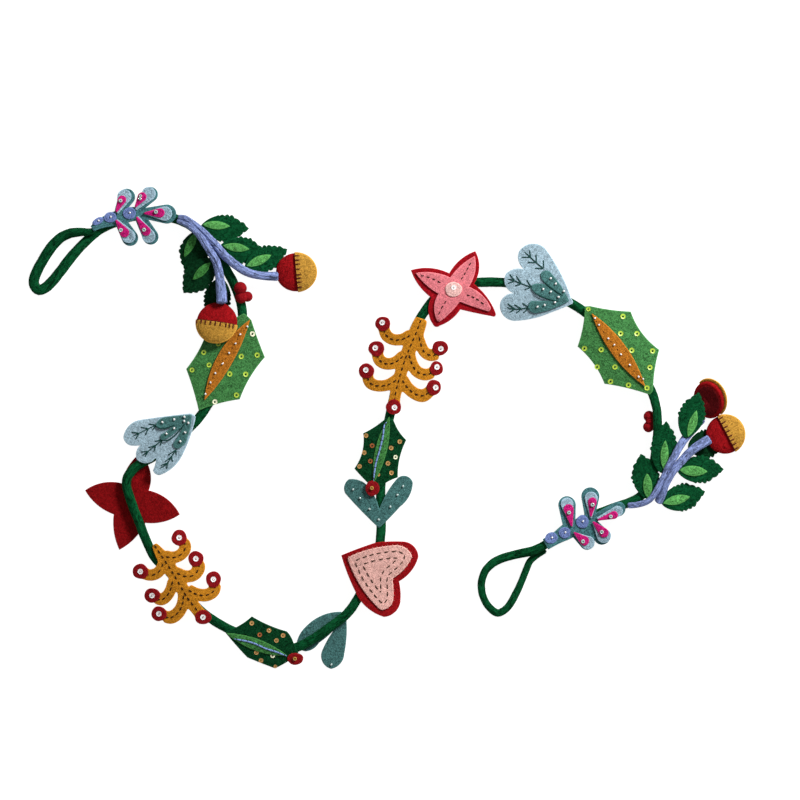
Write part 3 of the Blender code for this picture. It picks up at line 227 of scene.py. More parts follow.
@dataclass(frozen=True)
class Glaze:
    """Shader settings of a smooth and slightly cloudy surface.

    Attributes:
        scale: Clouds in a metre.
        detail: Octaves of detail.
        swirl: How far the clouds are bent.
        low: Noise at which the deep tone ends; the light tone starts as far over a half.
        deep: Share of the main colour in the deep tone.
        light: Share of it in the light tone.
        inputs: Values of the shader's own inputs.
    """

    scale: float
    detail: float
    swirl: float
    low: float
    deep: float
    light: float
    inputs: dict[str, object]


ROPE_GREEN = Finish("rope_green", "#0A4525", 0.85, surface=Surface.ROLL)
# Teal of the sprigs, darkened as painted shade: most of their teal that shows lies on the shaded side.
TEAL = Finish("teal", "#437074", 0.65)
DARK_TEAL = Finish("teal", "#47716F", 0.6)
PETAL_BLUE = Finish("light_blue", "#91ABB9", 0.6, 0.25)
LOBE_BLUE = Finish("light_blue", "#99B1BD", 0.46, 0.35)
MAGENTA = Finish("magenta", "#BA1E6E", 0.55)
LILAC = Finish("lilac", "#7987B5", 0.8, surface=Surface.ROLL)
LILAC_DISC = Finish("disc_lilac", "#6475A6", 0.6)
LEAF_GREEN = Finish("leaf_green", "#0B4425", 0.8)
# Darker greens for leaves in the shade of others: painted shade.
LEAF_PAINTED_SHADE = Finish("leaf_green", "#0A3019", 0.7)
VEIN_PAINTED_SHADE = Finish("vein_green", "#3C7A3A", 0.8)
VEIN_GREEN = Finish("vein_green", "#54974F", 0.8)
BUD_RED = Finish("bud_red", "#931318", 0.45)
# Red of the back of the bud that lies face down, darker than the pad's red as painted shade.
BUD_BACK_PAINTED_SHADE = Finish("bud_red", "#6F181B", 0.4)
BERRY_RED = Finish("bud_red", "#8A141B", 0.4)
BUD_YELLOW = Finish("bud_yellow", "#B68737", 0.5, 0.5)
HOLLY_GREEN = Finish("holly_green", "#417A43", 0.62, 0.42)
MIDRIB_ORANGE = Finish("midrib_orange", "#AE6B22", 0.5, 0.3)
STAR_BACK_RED = Finish("star_red", "#821013", 0.45)
STAR_RED = Finish("star_red", "#98121C", 0.45, 0.3)
STAR_PINK = Finish("star_pink", "#DD7B83", 0.36)
PALE_DISC = Finish("disc_pale", "#E8B9B3", 0.35)
MUSTARD = Finish("mustard", "#BE7C20", 0.42, 0.3)
RED_DISC = Finish("disc_red", "#87161B", 0.4)
SMALL_GREEN = Finish("leaf_green", "#0B3A1F", 0.8, 0.4)
SMALL_VEIN = Finish("vein_green", "#407B40", 0.8)
TWIN_TEAL = Finish("teal", "#446D6B", 0.6)
HEART_RED = Finish("star_red", "#901318", 0.45, 0.35)
HEART_PINK = Finish("heart_pink", "#E0AEA4", 0.32)
BEAD_GREEN = Finish("bead_clear", "#AFC9C2", surface=Surface.BEAD)
BEAD_WHITE = Finish("bead_clear", "#F4F4F2", surface=Surface.BEAD)
BEAD_GOLD = Finish("bead_clear", "#B98A3A", surface=Surface.BEAD)
SEQUIN_LIME = Finish("sequin_lime", "#B4D242", surface=Surface.SEQUIN)
SEQUIN_PALE = Finish("sequin_white", "#F3F4D0", surface=Surface.SEQUIN)
SEQUIN_GOLD = Finish("sequin_gold", "#BF9053", surface=Surface.SEQUIN)
SEQUIN_ORANGE = Finish("sequin_gold", "#A35A28", surface=Surface.SEQUIN)
SEQUIN_WHITE = Finish("sequin_white", "#FBF9F6", surface=Surface.SEQUIN)
# Near-black knots in the sequins' holes: painted shade inside the holes.
KNOT_PAINTED_SHADE = Finish("thread_dark", "#1C2A18", surface=Surface.THREAD)
DARK_THREAD = Finish("thread_dark", "#2C170B", surface=Surface.THREAD)
HEART_THREAD = Finish("thread_dark", "#45301F", surface=Surface.THREAD)
SEAM_THREAD = Finish("thread_dark", "#561B10", surface=Surface.THREAD)
PINK_THREAD = Finish("heart_pink", "#C98F86", surface=Surface.THREAD)
BEAD_TEAL = Finish("bead_clear", "#C6DAD6", surface=Surface.BEAD)
MARK_BROWN = Finish("thread_dark", "#6A3813", surface=Surface.THREAD)
TEAL_THREAD = Finish("thread_teal", "#184540", surface=Surface.THREAD)
BLUE_YARN = Finish("yarn_blue", "#7F9CD2", surface=Surface.THREAD)
WHITE_FLOOR = Finish("", "#8C8C8C", surface=Surface.FLOOR)

GLAZES = {
    Surface.BEAD: Glaze(420.0, 2.0, 0.0, 0.3, 0.9, 1.0, {
        "Roughness": 0.12, "IOR": 1.5, "Coat Weight": 0.6, "Coat Roughness": 0.05}),
    Surface.SEQUIN: Glaze(300.0, 1.0, 0.8, 0.35, 0.82, 1.1, {
        "Roughness": 0.38, "Coat Weight": 0.12, "Coat Roughness": 0.2}),
    Surface.FLOOR: Glaze(6.0, 2.0, 0.0, 0.3, 0.97, 1.0, {
        "Roughness": 0.9, "Specular IOR Level": 0.0, "Emission Color": WHITE, "Emission Strength": 0.94}),
}


@dataclass(frozen=True)
class Ridge:
    """A sheet's height: a low rounded ridge that falls away to both sides.

    The height is minus fall times (sqrt(d^2 + r^2) - r), d being the distance from the ridge line and r
    its roundness, minus pitch times the way along the line. Rise lifts the first end over a thick spot.
    A low wave grows toward the free edges.
    """

    x0: float
    y0: float
    x1: float
    y1: float
    fall: float
    pitch: float = 0.0
    rise: float = 0.0

    def __call__(self, xy: Array) -> Array:
        """Heights at places.

        Args:
            xy: Places in frame millimetres, one row each.

        Returns:
            One height in millimetres for each place.
        """
        start, end = place(self.x0, self.y0), place(self.x1, self.y1)
        along = (end - start) / np.hypot(*(end - start))
        way = (xy - start) @ along
        off = (xy - start) @ np.array((along[1], -along[0]))
        drop = self.fall * (np.hypot(off, RIDGE_ROUND) - RIDGE_ROUND)
        wave = RIPPLE * np.sin(math.tau * way / RIPPLE_LENGTH) * np.minimum(1.0, np.abs(off) / RIPPLE_REACH)
        lifted = self.rise * np.exp(-np.maximum(way, 0.0) / RISE_LENGTH)
        return wave + lifted - drop - self.pitch * way


def level(xy: Array) -> Array:
    """Height of a sheet that lies flat.

    Args:
        xy: Places, one row each.

    Returns:
        Zero for each place.
    """
    return np.zeros(len(xy))


def world(places: Table) -> Array:
    """Frame millimetres of places on the layout sheet.

    Args:
        places: Rows that start with x and y on the layout sheet.

    Returns:
        One row of x and y in the frame for each place.
    """
    rows = np.asarray(places, float)[:, :2]
    return (rows - SHEET_MIDDLE) * (1.0, -1.0)


def place(x: float, y: float) -> Array:
    """Frame millimetres of one place on the layout sheet.

    Args:
        x: Its x there.
        y: Its y there.

    Returns:
        Its x and y in the frame.
    """
    return world(((x, y),))[0]


def travel(line: Array) -> Array:
    """Way along a line.

    Args:
        line: Its points, in any number of dimensions.

    Returns:
        The length from the first point up to each point.
    """
    return np.concatenate(([0.0], np.cumsum(np.sqrt((np.diff(line, axis=0) ** 2).sum(axis=1)))))


def read(line: Array, run: Array, ways: Array) -> Array:
    """Places on a line.

    Args:
        line: Points of the line.
        run: Way along it at each point.
        ways: Ways along it that are wanted.

    Returns:
        One row of x and y for each way.
    """
    return np.column_stack([np.interp(ways, run, line[:, k]) for k in (0, 1)])


def leftward(along: Array) -> Array:
    """Unit vectors to the left of directions.

    Args:
        along: The directions, one row each.

    Returns:
        One row for each direction.
    """
    return np.column_stack((-along[:, 1], along[:, 0])) / np.maximum(np.hypot(*along.T), 1e-9)[:, None]


def lumps(xy: Array, size: float, height: float, phase: float) -> Array:
    """Uneven height of hand-made felt: the mean of five sine waves that cross at odd angles.

    Args:
        xy: Places in millimetres, one row each.
        size: Length of the longest wave in millimetres.
        height: Largest height in millimetres.
        phase: Shift that makes each piece's unevenness its own.

    Returns:
        One height in millimetres for each place.
    """
    order = np.arange(5)
    angle = 2.4 * order + phase
    rate = math.tau / size * (1.0 + 0.37 * order)
    waves = np.sin((xy[:, :1] * np.cos(angle) + xy[:, 1:2] * np.sin(angle)) * rate + 1.9 * order + phase)
    return height * waves.mean(axis=1)


def smooth(rows: Table, step: float) -> Array:
    """Points read from a smooth curve through the rows, by cubic Hermite spans.

    Args:
        rows: Knots that start with x and y; every other column follows the same curve.
        step: Distance between the points in millimetres.

    Returns:
        One row for each point, with the knots' columns.
    """
    knots = np.asarray(rows, float)
    stations = travel(knots[:, :2])
    spans = np.diff(stations)
    before = np.maximum(np.arange(len(knots)) - 1, 0)
    after = np.minimum(np.arange(len(knots)) + 1, len(knots) - 1)
    slopes = (knots[after] - knots[before]) / (stations[after] - stations[before])[:, None]
    reading = np.linspace(0.0, stations[-1], max(2, round(stations[-1] / step) + 1))
    i = np.clip(np.searchsorted(stations, reading, "right") - 1, 0, len(spans) - 1)
    span = spans[i][:, None]
    t = ((reading - stations[i]) / spans[i])[:, None]
    keep = 2 * t ** 3 - 3 * t ** 2 + 1
    leave = (t ** 3 - 2 * t ** 2 + t) * span
    reach = (t ** 3 - t ** 2) * span
    return keep * knots[i] + leave * slopes[i] + (1 - keep) * knots[i + 1] + reach * slopes[i + 1]


def winding(loop: Array) -> float:
    """Area inside a closed outline, negative where it runs clockwise.

    Args:
        loop: Points of the outline.

    Returns:
        The signed area.
    """
    after = np.roll(loop, -1, axis=0)
    return float(0.5 * np.sum(loop[:, 0] * after[:, 1] - loop[:, 1] * after[:, 0]))


def arc(start: Array, end: Array, bow: float, step: float) -> Array:
    """Points of a circular arc that bows to the left of travel; its end is left out.

    Args:
        start: First point.
        end: Last point.
        bow: Height of the arc over its chord.
        step: Distance between the points.

    Returns:
        The points from start up to end.
    """
    chord = end - start
    length = float(np.hypot(*chord))
    if abs(bow) < STRAIGHT:
        count = max(1, round(length / step))
        return start + chord * (np.arange(count) / count)[:, None]
    half = 2.0 * math.atan(2.0 * bow / length)
    radius = length / (2.0 * math.sin(half))
    along = chord / length
    left = np.array((-along[1], along[0]))
    middle = (start + end) / 2.0 - left * (radius - bow)
    count = max(3, round(abs(2.0 * radius * half) / step))
    angles = (half * (2.0 * np.arange(count) / count - 1.0))[:, None]
    return middle + radius * (along * np.sin(angles) + left * np.cos(angles))


def arced(corners: Table, step: float = OUTLINE_STEP) -> Array:
    """Closed outline through corners, where the side after each corner bows out.

    Args:
        corners: Rows of x, y and bow.
        step: Distance between the points.

    Returns:
        The outline, running anticlockwise.
    """
    places = world(corners)
    outward = 1.0 if winding(places) < 0.0 else -1.0
    ends = np.roll(places, -1, axis=0)
    sides = [arc(start, end, outward * row[2], step) for row, start, end in zip(corners, places, ends)]
    outline = np.concatenate(sides)
    return outline if outward < 0.0 else outline[::-1]


def lens(row: Sequence[float]) -> Array:
    """Pointed outline between two ends.

    Args:
        row: x and y of the first end, x and y of the second, and the bows of both sides.

    Returns:
        The outline, running anticlockwise.
    """
    x0, y0, x1, y1, bow0, bow1 = row
    return arced(((x0, y0, bow0), (x1, y1, bow1)), 1.0)


def ellipse(row: Sequence[float]) -> Array:
    """Outline of a round piece, a little uneven as cut by hand.

    Args:
        row: x and y of the middle, two radii and a turn in degrees.

    Returns:
        The outline, running anticlockwise.
    """
    x, y, rx, ry, turn = row
    angles = np.linspace(0.0, math.tau, max(16, round(math.tau * rx)), endpoint=False)
    uneven = 1.0 + 0.02 * np.sin(3.0 * angles + x) + 0.012 * np.sin(5.0 * angles + y)
    across, up = rx * uneven * np.cos(angles), ry * uneven * np.sin(angles)
    c, s = math.cos(math.radians(turn)), math.sin(math.radians(turn))
    return place(x, y) + np.column_stack((across * c - up * s, across * s + up * c))


def teardrop(row: Sequence[float]) -> Array:
    """Outline of a petal: two circles and the straight sides that touch both.

    Args:
        row: x, y and radius of the root's circle, then of the tip's circle.

    Returns:
        The outline, running anticlockwise.
    """
    root, tip = world((row[0:2], row[3:5]))
    root_r, tip_r = row[2], row[5]
    along = tip - root
    heading = math.atan2(along[1], along[0])
    touch = math.acos((root_r - tip_r) / float(np.hypot(*along)))
    arcs = []
    for centre, radius, start, sweep in (
            (tip, tip_r, heading - touch, 2.0 * touch),
            (root, root_r, heading + touch, math.tau - 2.0 * touch)):
        angles = start + sweep * np.linspace(0.0, 1.0, max(3, round(radius * sweep / 1.2)))
        arcs.append(centre + radius * np.column_stack((np.cos(angles), np.sin(angles))))
    return split(np.concatenate(arcs), SIDE_STEP)


def strip(rows: Table) -> Array:
    """Outline of a strip of changing width along a smooth line, with blunt ends.

    Args:
        rows: Rows of x, y and half width.

    Returns:
        The outline, running anticlockwise.
    """
    line = smooth(rows, OUTLINE_STEP)
    spots = world(line)
    across = leftward(np.gradient(spots, axis=0)) * line[:, 2:3]
    return np.concatenate((spots - across, (spots + across)[::-1]))


def serrated(base: Array, tip: Array, width: float) -> Array:
    """Outline of a leaf: pointed at both ends, with small rounded teeth along its outer half.

    Half the width is sin(pi s)^0.58 at a share s of the length, with a power of 0.95 toward the tip, and
    the teeth are lobes of s that lean toward the tip, of uneven size.

    Args:
        base: Place of the leaf's base.
        tip: Place of its tip.
        width: Its width.

    Returns:
        The outline, running anticlockwise.
    """
    along = tip - base
    across = np.array((-along[1], along[0])) / np.hypot(*along)
    share = np.linspace(0.012, 0.985, 96)
    power = 0.58 + 0.37 * np.clip((share - 0.45) / 0.3, 0.0, 1.0)
    half = 0.5 * width * np.sin(math.pi * share) ** power
    sides = []
    for turn, shift in ((-1.0, 0.0), (1.0, 0.45)):
        tooth = np.maximum(share - 0.32, 0.0) / 0.112 + shift + 0.12 * np.sin(9.0 * share + width)
        size = 1.9 + 0.5 * np.sin(23.0 * share + 3.0 * width + turn)
        teeth = size * np.sin(math.pi * (tooth % 1.0) ** 1.25) ** 0.65 - 1.2
        swell = np.clip((share - 0.32) / 0.12, 0.0, 1.0) * np.clip((0.99 - share) / 0.08, 0.2, 1.0)
        sides.append(base + along * share[:, None] + across * (turn * (half + teeth * swell))[:, None])
    right, left = sides
    return np.concatenate((base[None], right, tip[None], left[::-1]))


def split(loop: Array, step: float) -> Array:
    """The outline with points added along its longer sides.

    Args:
        loop: Points of the outline.
        step: Longest side wanted.

    Returns:
        The outline with more points.
    """
    after = np.roll(loop, -1, axis=0)
    counts = np.maximum(1, np.ceil(np.hypot(*(after - loop).T) / step).astype(int))
    start = np.repeat(loop, counts, axis=0)
    chord = np.repeat(after - loop, counts, axis=0)
    index = np.arange(counts.sum()) - np.repeat(np.cumsum(counts) - counts, counts)
    return start + chord * (index / np.repeat(counts, counts))[:, None]


def borders(triangles: Array) -> Array:
    """Sides that only one triangle has.

    Args:
        triangles: Three point numbers a row.

    Returns:
        Pairs of point numbers, with the triangle on their left.
    """
    sides = np.concatenate((triangles[:, (0, 1)], triangles[:, (1, 2)], triangles[:, (2, 0)]))
    size = int(triangles.max()) + 1
    return sides[~np.isin(sides[:, 0] * size + sides[:, 1], sides[:, 1] * size + sides[:, 0])]


def triangulated(points: Array, faces: Sequence[Sequence[int]]) -> tuple[Array, Array]:
    """Triangles that fill outlines and use all points.

    Args:
        points: Places, one row each.
        faces: Outlines, as point numbers running anticlockwise.

    Returns:
        The places used and the triangles between them.
    """
    found = delaunay_2d_cdt([Vector(p) for p in points], [], [list(f) for f in faces], 1, 0.001)
    places = np.array([tuple(p) for p in found[0]])
    fans = [(f[0], f[k], f[k + 1]) for f in found[2] for k in range(1, len(f) - 1)]
    return places, np.array(fans)


def joined(loops: Sequence[Array]) -> Array:
    """One outline around several that overlap.

    Args:
        loops: The outlines.

    Returns:
        The longest border of their union, running anticlockwise.
    """
    wound = [loop if winding(loop) > 0.0 else loop[::-1] for loop in loops]
    starts = np.cumsum([0] + [len(loop) for loop in wound])
    places, triangles = triangulated(np.concatenate(wound),
                                     [range(a, b) for a, b in zip(starts, starts[1:])])
    following = dict(borders(triangles).tolist())
    rings = []
    while following:
        start, point = following.popitem()
        ring = [start]
        while point != start:
            ring.append(point)
            point = following.pop(point)
        rings.append(ring)
    ring = places[max(rings, key=len)]
    gaps = np.hypot(*(ring - np.roll(ring, 1, axis=0)).T)
    return split(ring[gaps > MERGE_GAP], SIDE_STEP)


def softened(loop: Array, reach: float) -> Array:
    """The outline with its corners rounded: each point is the weighted mean of its neighbours.

    The weights are a bell curve exp(-(d / reach)^2 / 2) of the distance d along the outline.

    Args:
        loop: The outline, running anticlockwise.
        reach: The bell's reach.

    Returns:
        The rounded outline.
    """
    closed = np.concatenate((loop, loop[:1]))
    run = travel(closed)
    even = read(closed, run, np.linspace(0.0, run[-1], round(run[-1] / STITCH_STEP), endpoint=False))
    most = round(3.0 * reach / STITCH_STEP)
    shifts = np.arange(-most, most + 1)
    weights = np.exp(-0.5 * (shifts * STITCH_STEP / reach) ** 2)
    rounded = sum(w * np.roll(even, -k, axis=0) for k, w in zip(shifts, weights / weights.sum()))
    return rounded[::2]


def inside(loop: Array, places: Array) -> Array:
    """Which places lie inside an outline, by counting the sides to their right.

    Args:
        loop: Points of the outline.
        places: Places, one row each.

    Returns:
        True or false for each place.
    """
    after = np.roll(loop, -1, axis=0)
    x, y = places[:, :1], places[:, 1:2]
    crossing = (loop[:, 1] > y) != (after[:, 1] > y)
    rise = np.where(after[:, 1] == loop[:, 1], 1e-9, after[:, 1] - loop[:, 1])
    reach = loop[:, 0] + (y - loop[:, 1]) * (after[:, 0] - loop[:, 0]) / rise
    return (crossing & (x < reach)).sum(axis=1) % 2 == 1


def edge_distance(loop: Array, places: Array) -> Array:
    """Distance from places to the nearest side of an outline.

    Args:
        loop: Points of the outline.
        places: Places, one row each.

    Returns:
        One distance for each place.
    """
    side = np.roll(loop, -1, axis=0) - loop
    offset = places[:, None, :] - loop
    share = np.clip((offset * side).sum(-1) / np.maximum((side ** 2).sum(-1), 1e-9), 0.0, 1.0)
    return np.sqrt(((offset - side * share[..., None]) ** 2).sum(-1)).min(axis=1)


def filled(outline: Array, pitch: float) -> tuple[Array, Array, Array]:
    """An outline filled with an even lattice of points and two rings of points near its edge.

    Args:
        outline: The outline, running anticlockwise.
        pitch: Distance between the lattice's points.

    Returns:
        The places, the triangles between them, and each place's distance from the edge.
    """
    low, high = outline.min(axis=0), outline.max(axis=0)
    row_step = pitch * math.sqrt(3.0) / 2.0
    wide, deep = (high - low) / (pitch, row_step)
    rows, columns = np.mgrid[0:int(deep) + 1, 0:int(wide) + 1]
    x, y = (columns + 0.5 * (rows % 2)) * pitch, rows * row_step
    lattice = np.column_stack((x.ravel(), y.ravel())) + low
    lattice = lattice[inside(outline, lattice)]
    lattice = lattice[edge_distance(outline, lattice) > 0.6 + 0.45 * pitch]
    rings = [inset(outline, depth) for depth in EDGE_DEPTHS]
    places, triangles = triangulated(np.concatenate([outline] + rings + [lattice]), [range(len(outline))])
    return places, triangles, edge_distance(outline, places)


def inset(outline: Array, depth: float) -> Array:
    """Line that keeps a distance inside an outline.

    Args:
        outline: The outline, running anticlockwise.
        depth: The distance.

    Returns:
        The line's points, in the outline's order.
    """
    along = np.roll(outline, -1, axis=0) - np.roll(outline, 1, axis=0)
    line = outline + leftward(along) * depth
    line = line[inside(outline, line)]
    return line[edge_distance(outline, line) > 0.97 * depth]


def linear(colour: str) -> tuple[float, float, float]:
    """Linear light of a display colour.

    Args:
        colour: Hex number of a display colour.

    Returns:
        Red, green and blue as linear light.
    """
    shown = [int(colour[k:k + 2], 16) / 255.0 for k in (1, 3, 5)]
    return tuple(v / 12.92 if v <= 0.04045 else ((v + 0.055) / 1.055) ** 2.4 for v in shown)


def tones(colour: str, *shares: float) -> list[Row]:
    """Darker and lighter tones of a display colour.

    Args:
        colour: Hex number of the colour.
        shares: Share of its light in each tone.

    Returns:
        Red, green and blue of each tone as linear light.
    """
    return [tuple(v * max(share, TONE_LEAST) for v in linear(colour)) for share in shares]


class Shader:
    """The nodes of one material, around its principled shader."""

    def __init__(self, tree: bpy.types.NodeTree) -> None:
        """Start from the node tree of a new material."""
        self.tree = tree
        self.coords = tree.nodes.new("ShaderNodeTexCoord").outputs

    def node(self, kind: str, settings: dict, links: dict) -> bpy.types.Node:
        """Add a node.

        Args:
            kind: Blender's name of the node's kind.
            settings: Values of its properties, and of its inputs by name or number.
            links: Sockets that feed its inputs, by name or number.

        Returns:
            The node.
        """
        made = self.tree.nodes.new(kind)
        for key, value in settings.items():
            if hasattr(made, str(key)):
                setattr(made, key, value)
            else:
                made.inputs[key].default_value = value
        for key, socket in links.items():
            self.tree.links.new(socket, made.inputs[key])
        return made

    def noise(self, coords: Socket, scale: float, detail: float, roughness: float, swirl: float) -> Socket:
        """Add noise: features in a metre, octaves, share that each keeps, and how far it is bent."""
        settings = {"Scale": scale, "Detail": detail, "Roughness": roughness, "Distortion": swirl}
        return self.node("ShaderNodeTexNoise", settings, {"Vector": coords}).outputs[0]

    def ranged(self, value: Socket, low: float, high: float, to_low: float, to_high: float) -> Socket:
        """Map the range from low to high onto the range from to_low to to_high, and hold it there."""
        settings = {"From Min": low, "From Max": high, "To Min": to_low, "To Max": to_high}
        return self.node("ShaderNodeMapRange", settings, {"Value": value}).outputs[0]

    def mixed(self, share: Socket, first: Socket | Row, second: Row) -> Socket:
        """Mix two colours: inputs 6 and 7 and output 2 are the Mix node's colours.

        Args:
            share: Share of the second colour.
            first: First colour, a socket or linear light.
            second: Second colour, as linear light.

        Returns:
            The mixed colour.
        """
        settings, links = {"data_type": "RGBA", 7: (*second, 1.0)}, {0: share}
        if isinstance(first, tuple):
            settings[6] = (*first, 1.0)
        else:
            links[6] = first
        return self.node("ShaderNodeMix", settings, links).outputs[2]

    def strands(self, coords: Socket, scale: float, most: float) -> Socket:
        """Add curly fibres: thin bands where a bent noise passes its middle value.

        Args:
            coords: Coordinates in metres.
            scale: Features in a metre.
            most: Value on a fibre.

        Returns:
            The value, falling to zero beside the fibres.
        """
        bent = self.noise(coords, scale, 2.0, 0.55, 1.6)
        off = self.node("ShaderNodeMath", {"operation": "SUBTRACT", 1: 0.5}, {0: bent})
        size = self.node("ShaderNodeMath", {"operation": "ABSOLUTE"}, {0: off.outputs[0]})
        return self.ranged(size.outputs[0], 0.0, STRAND_WIDTH, most, 0.0)

    def feed(self, colour: Socket, inputs: dict[str, object], relief: Socket | None = None,
             strength: float = 0.0, depth: float = 0.0) -> None:
        """Feed the principled shader.

        Args:
            colour: Its base colour.
            inputs: Its values that are the same all over.
            relief: Height of its surface.
            strength: Share of the relief that shows.
            depth: Depth of the relief in metres.
        """
        shader = self.tree.nodes["Principled BSDF"]
        self.tree.links.new(colour, shader.inputs["Base Color"])
        for key, value in inputs.items():
            shader.inputs[key].default_value = value
        if relief is not None:
            settings = {"Strength": strength, "Distance": depth}
            bump = self.node("ShaderNodeBump", settings, {"Height": relief})
            self.tree.links.new(bump.outputs[0], shader.inputs["Normal"])

    def felt(self, finish: Finish) -> None:
        """Felted wool: darker and lighter patches, dark gaps, curly pale fibres and a soft sheen.

        Args:
            finish: The finish.
        """
        shade = finish.contrast
        base, dark, gap, pale, stray, rim = tones(
            finish.colour, 1.0, 1.0 - 0.95 * shade, 1.0 - 1.15 * shade, 1.0 + 0.9 * shade,
            1.0 + 1.5 * shade, 1.0 + 2.2 * finish.rim)
        coords = self.coords["Object"]
        if finish.surface is Surface.ROLL:
            stretch = {"Scale": (0.3, 1.0, 1.0)}
            coords = self.node("ShaderNodeMapping", stretch, {"Vector": self.coords["UV"]}).outputs[0]
        patches = self.noise(coords, PATCHES_IN_METRE, 3.0, 0.55, 0.6)
        swirls = self.noise(coords, SWIRLS_IN_METRE, 4.0, 0.72, 1.8)
        fibres = self.noise(coords, FIBRES_IN_METRE, 3.0, 0.6, 1.0)
        deep = self.mixed(self.ranged(swirls, 0.4, 0.6, 0.0, 1.0), dark, pale)
        tone = self.mixed(self.ranged(patches, 0.3, 0.7, 0.35, 0.0), deep, base)
        sunk = self.mixed(self.strands(coords, GAPS_IN_METRE, 0.75), tone, gap)
        curly = self.mixed(self.strands(coords, STRAYS_IN_METRE, 0.6), sunk, stray)
        # Lighter cut edges: the fuzz of the cut, and a painted highlight where the edges catch the light.
        edge = self.node("ShaderNodeAttribute", {"attribute_name": "edge"}, {}).outputs["Fac"]
        colour = self.mixed(self.ranged(edge, 0.1, 1.3, 0.7, 0.0), curly, rim)
        rough = self.node("ShaderNodeMath", {"operation": "MULTIPLY_ADD", 1: 0.6}, {0: fibres, 2: swirls})
        inputs = {"Roughness": 0.95, "Specular IOR Level": 0.02, "Sheen Weight": 0.03,
                  "Sheen Roughness": 0.5, "Sheen Tint": (*pale, 1.0)}
        self.feed(colour, inputs, rough.outputs[0], 0.85, 0.0009)

    def thread(self, finish: Finish) -> None:
        """Twisted thread or yarn: slanting plies and fine fibres.

        Args:
            finish: The finish.
        """
        dark, light = tones(finish.colour, 0.6, 1.3)
        slant = self.node("ShaderNodeMapping", {"Rotation": (0.0, 0.0, 0.8)}, {"Vector": self.coords["UV"]})
        wave = {"Scale": PLIES_IN_METRE, "Distortion": 1.2, "Detail": 2.0}
        plies = self.node("ShaderNodeTexWave", wave, {"Vector": slant.outputs[0]}).outputs["Fac"]
        colour = self.mixed(self.ranged(plies, 0.1, 0.9, 0.0, 1.0), dark, light)
        self.feed(colour, {"Roughness": 0.75, "Specular IOR Level": 0.15}, plies, 0.5, 0.0002)

    def glazed(self, finish: Finish) -> None:
        """Smooth surface whose tone changes in soft clouds: glass, sequin or studio floor.

        Args:
            finish: The finish.
        """
        glaze = GLAZES[finish.surface]
        deep, light = tones(finish.colour, glaze.deep, glaze.light)
        clouds = self.noise(self.coords["Object"], glaze.scale, glaze.detail, 0.5, glaze.swirl)
        share = self.ranged(clouds, glaze.low, 1.0 - glaze.low, 0.0, 1.0)
        self.feed(self.mixed(share, deep, tuple(min(v, 1.0) for v in light)), glaze.inputs)


@cache
def material(finish: Finish) -> bpy.types.Material:
    """The procedural material of a finish, made on first use and kept for later pieces.

    Args:
        finish: The finish.

    Returns:
        Its material.
    """
    made = bpy.data.materials.new(f"{finish.slot or 'floor'}_{finish.colour[1:].lower()}")
    made.use_nodes = True
    made.diffuse_color = (*linear(finish.colour), 1.0)
    build = {Surface.FELT: Shader.felt, Surface.ROLL: Shader.felt, Surface.THREAD: Shader.thread}
    build.get(finish.surface, Shader.glazed)(Shader(made.node_tree), finish)
    return made


@dataclass
class Shape:
    """A mesh in the making.

    Attributes:
        points: Corners in frame millimetres.
        triangles: Three corner numbers a row.
        quads: Four corner numbers a row.
        uv: Length along and around for each corner, in metres.
        edge: Distance from the cut edge for each corner, in millimetres.
    """

    points: Array
    triangles: Array = field(default_factory=lambda: np.zeros((0, 3), int))
    quads: Array = field(default_factory=lambda: np.zeros((0, 4), int))
    uv: Array | None = None
    edge: Array | None = None

    def layout(self) -> Array:
        """Length along and around for each corner, or else its place seen from above, in metres."""
        return self.points[:, :2] * MM if self.uv is None else self.uv

    def depth(self) -> Array:
        """Distance from the cut edge for each corner, or else a long way."""
        return np.full(len(self.points), FAR_INSIDE) if self.edge is None else self.edge

    @staticmethod
    def together(shapes: Sequence["Shape"]) -> "Shape":
        """One shape of several.

        Args:
            shapes: The shapes.

        Returns:
            All of them in one mesh.
        """
        starts = np.cumsum([0] + [len(s.points) for s in shapes])
        return Shape(np.concatenate([s.points for s in shapes]),
                     np.concatenate([s.triangles + n for s, n in zip(shapes, starts)]),
                     np.concatenate([s.quads + n for s, n in zip(shapes, starts)]),
                     np.concatenate([s.layout() for s in shapes]),
                     np.concatenate([s.depth() for s in shapes]))

    def copies(self, places: Array, side: Array, ahead: Array, up: Array, size: Array) -> "Shape":
        """Copies of this shape, each turned to its own axes.

        Args:
            places: Middle of each copy.
            side: Unit vector that each copy's x becomes.
            ahead: Unit vector that each copy's y becomes.
            up: Unit vector that each copy's z becomes.
            size: Scale of each copy.

        Returns:
            All copies in one shape.
        """
        p = self.points[None] * size[:, None, None]
        spread = p[..., :1] * side[:, None] + p[..., 1:2] * ahead[:, None] + p[..., 2:] * up[:, None]
        points = (places[:, None] + spread).reshape(-1, 3)
        shift = (np.arange(len(places)) * len(self.points))[:, None, None]
        return Shape(points, (self.triangles + shift).reshape(-1, 3), (self.quads + shift).reshape(-1, 4))


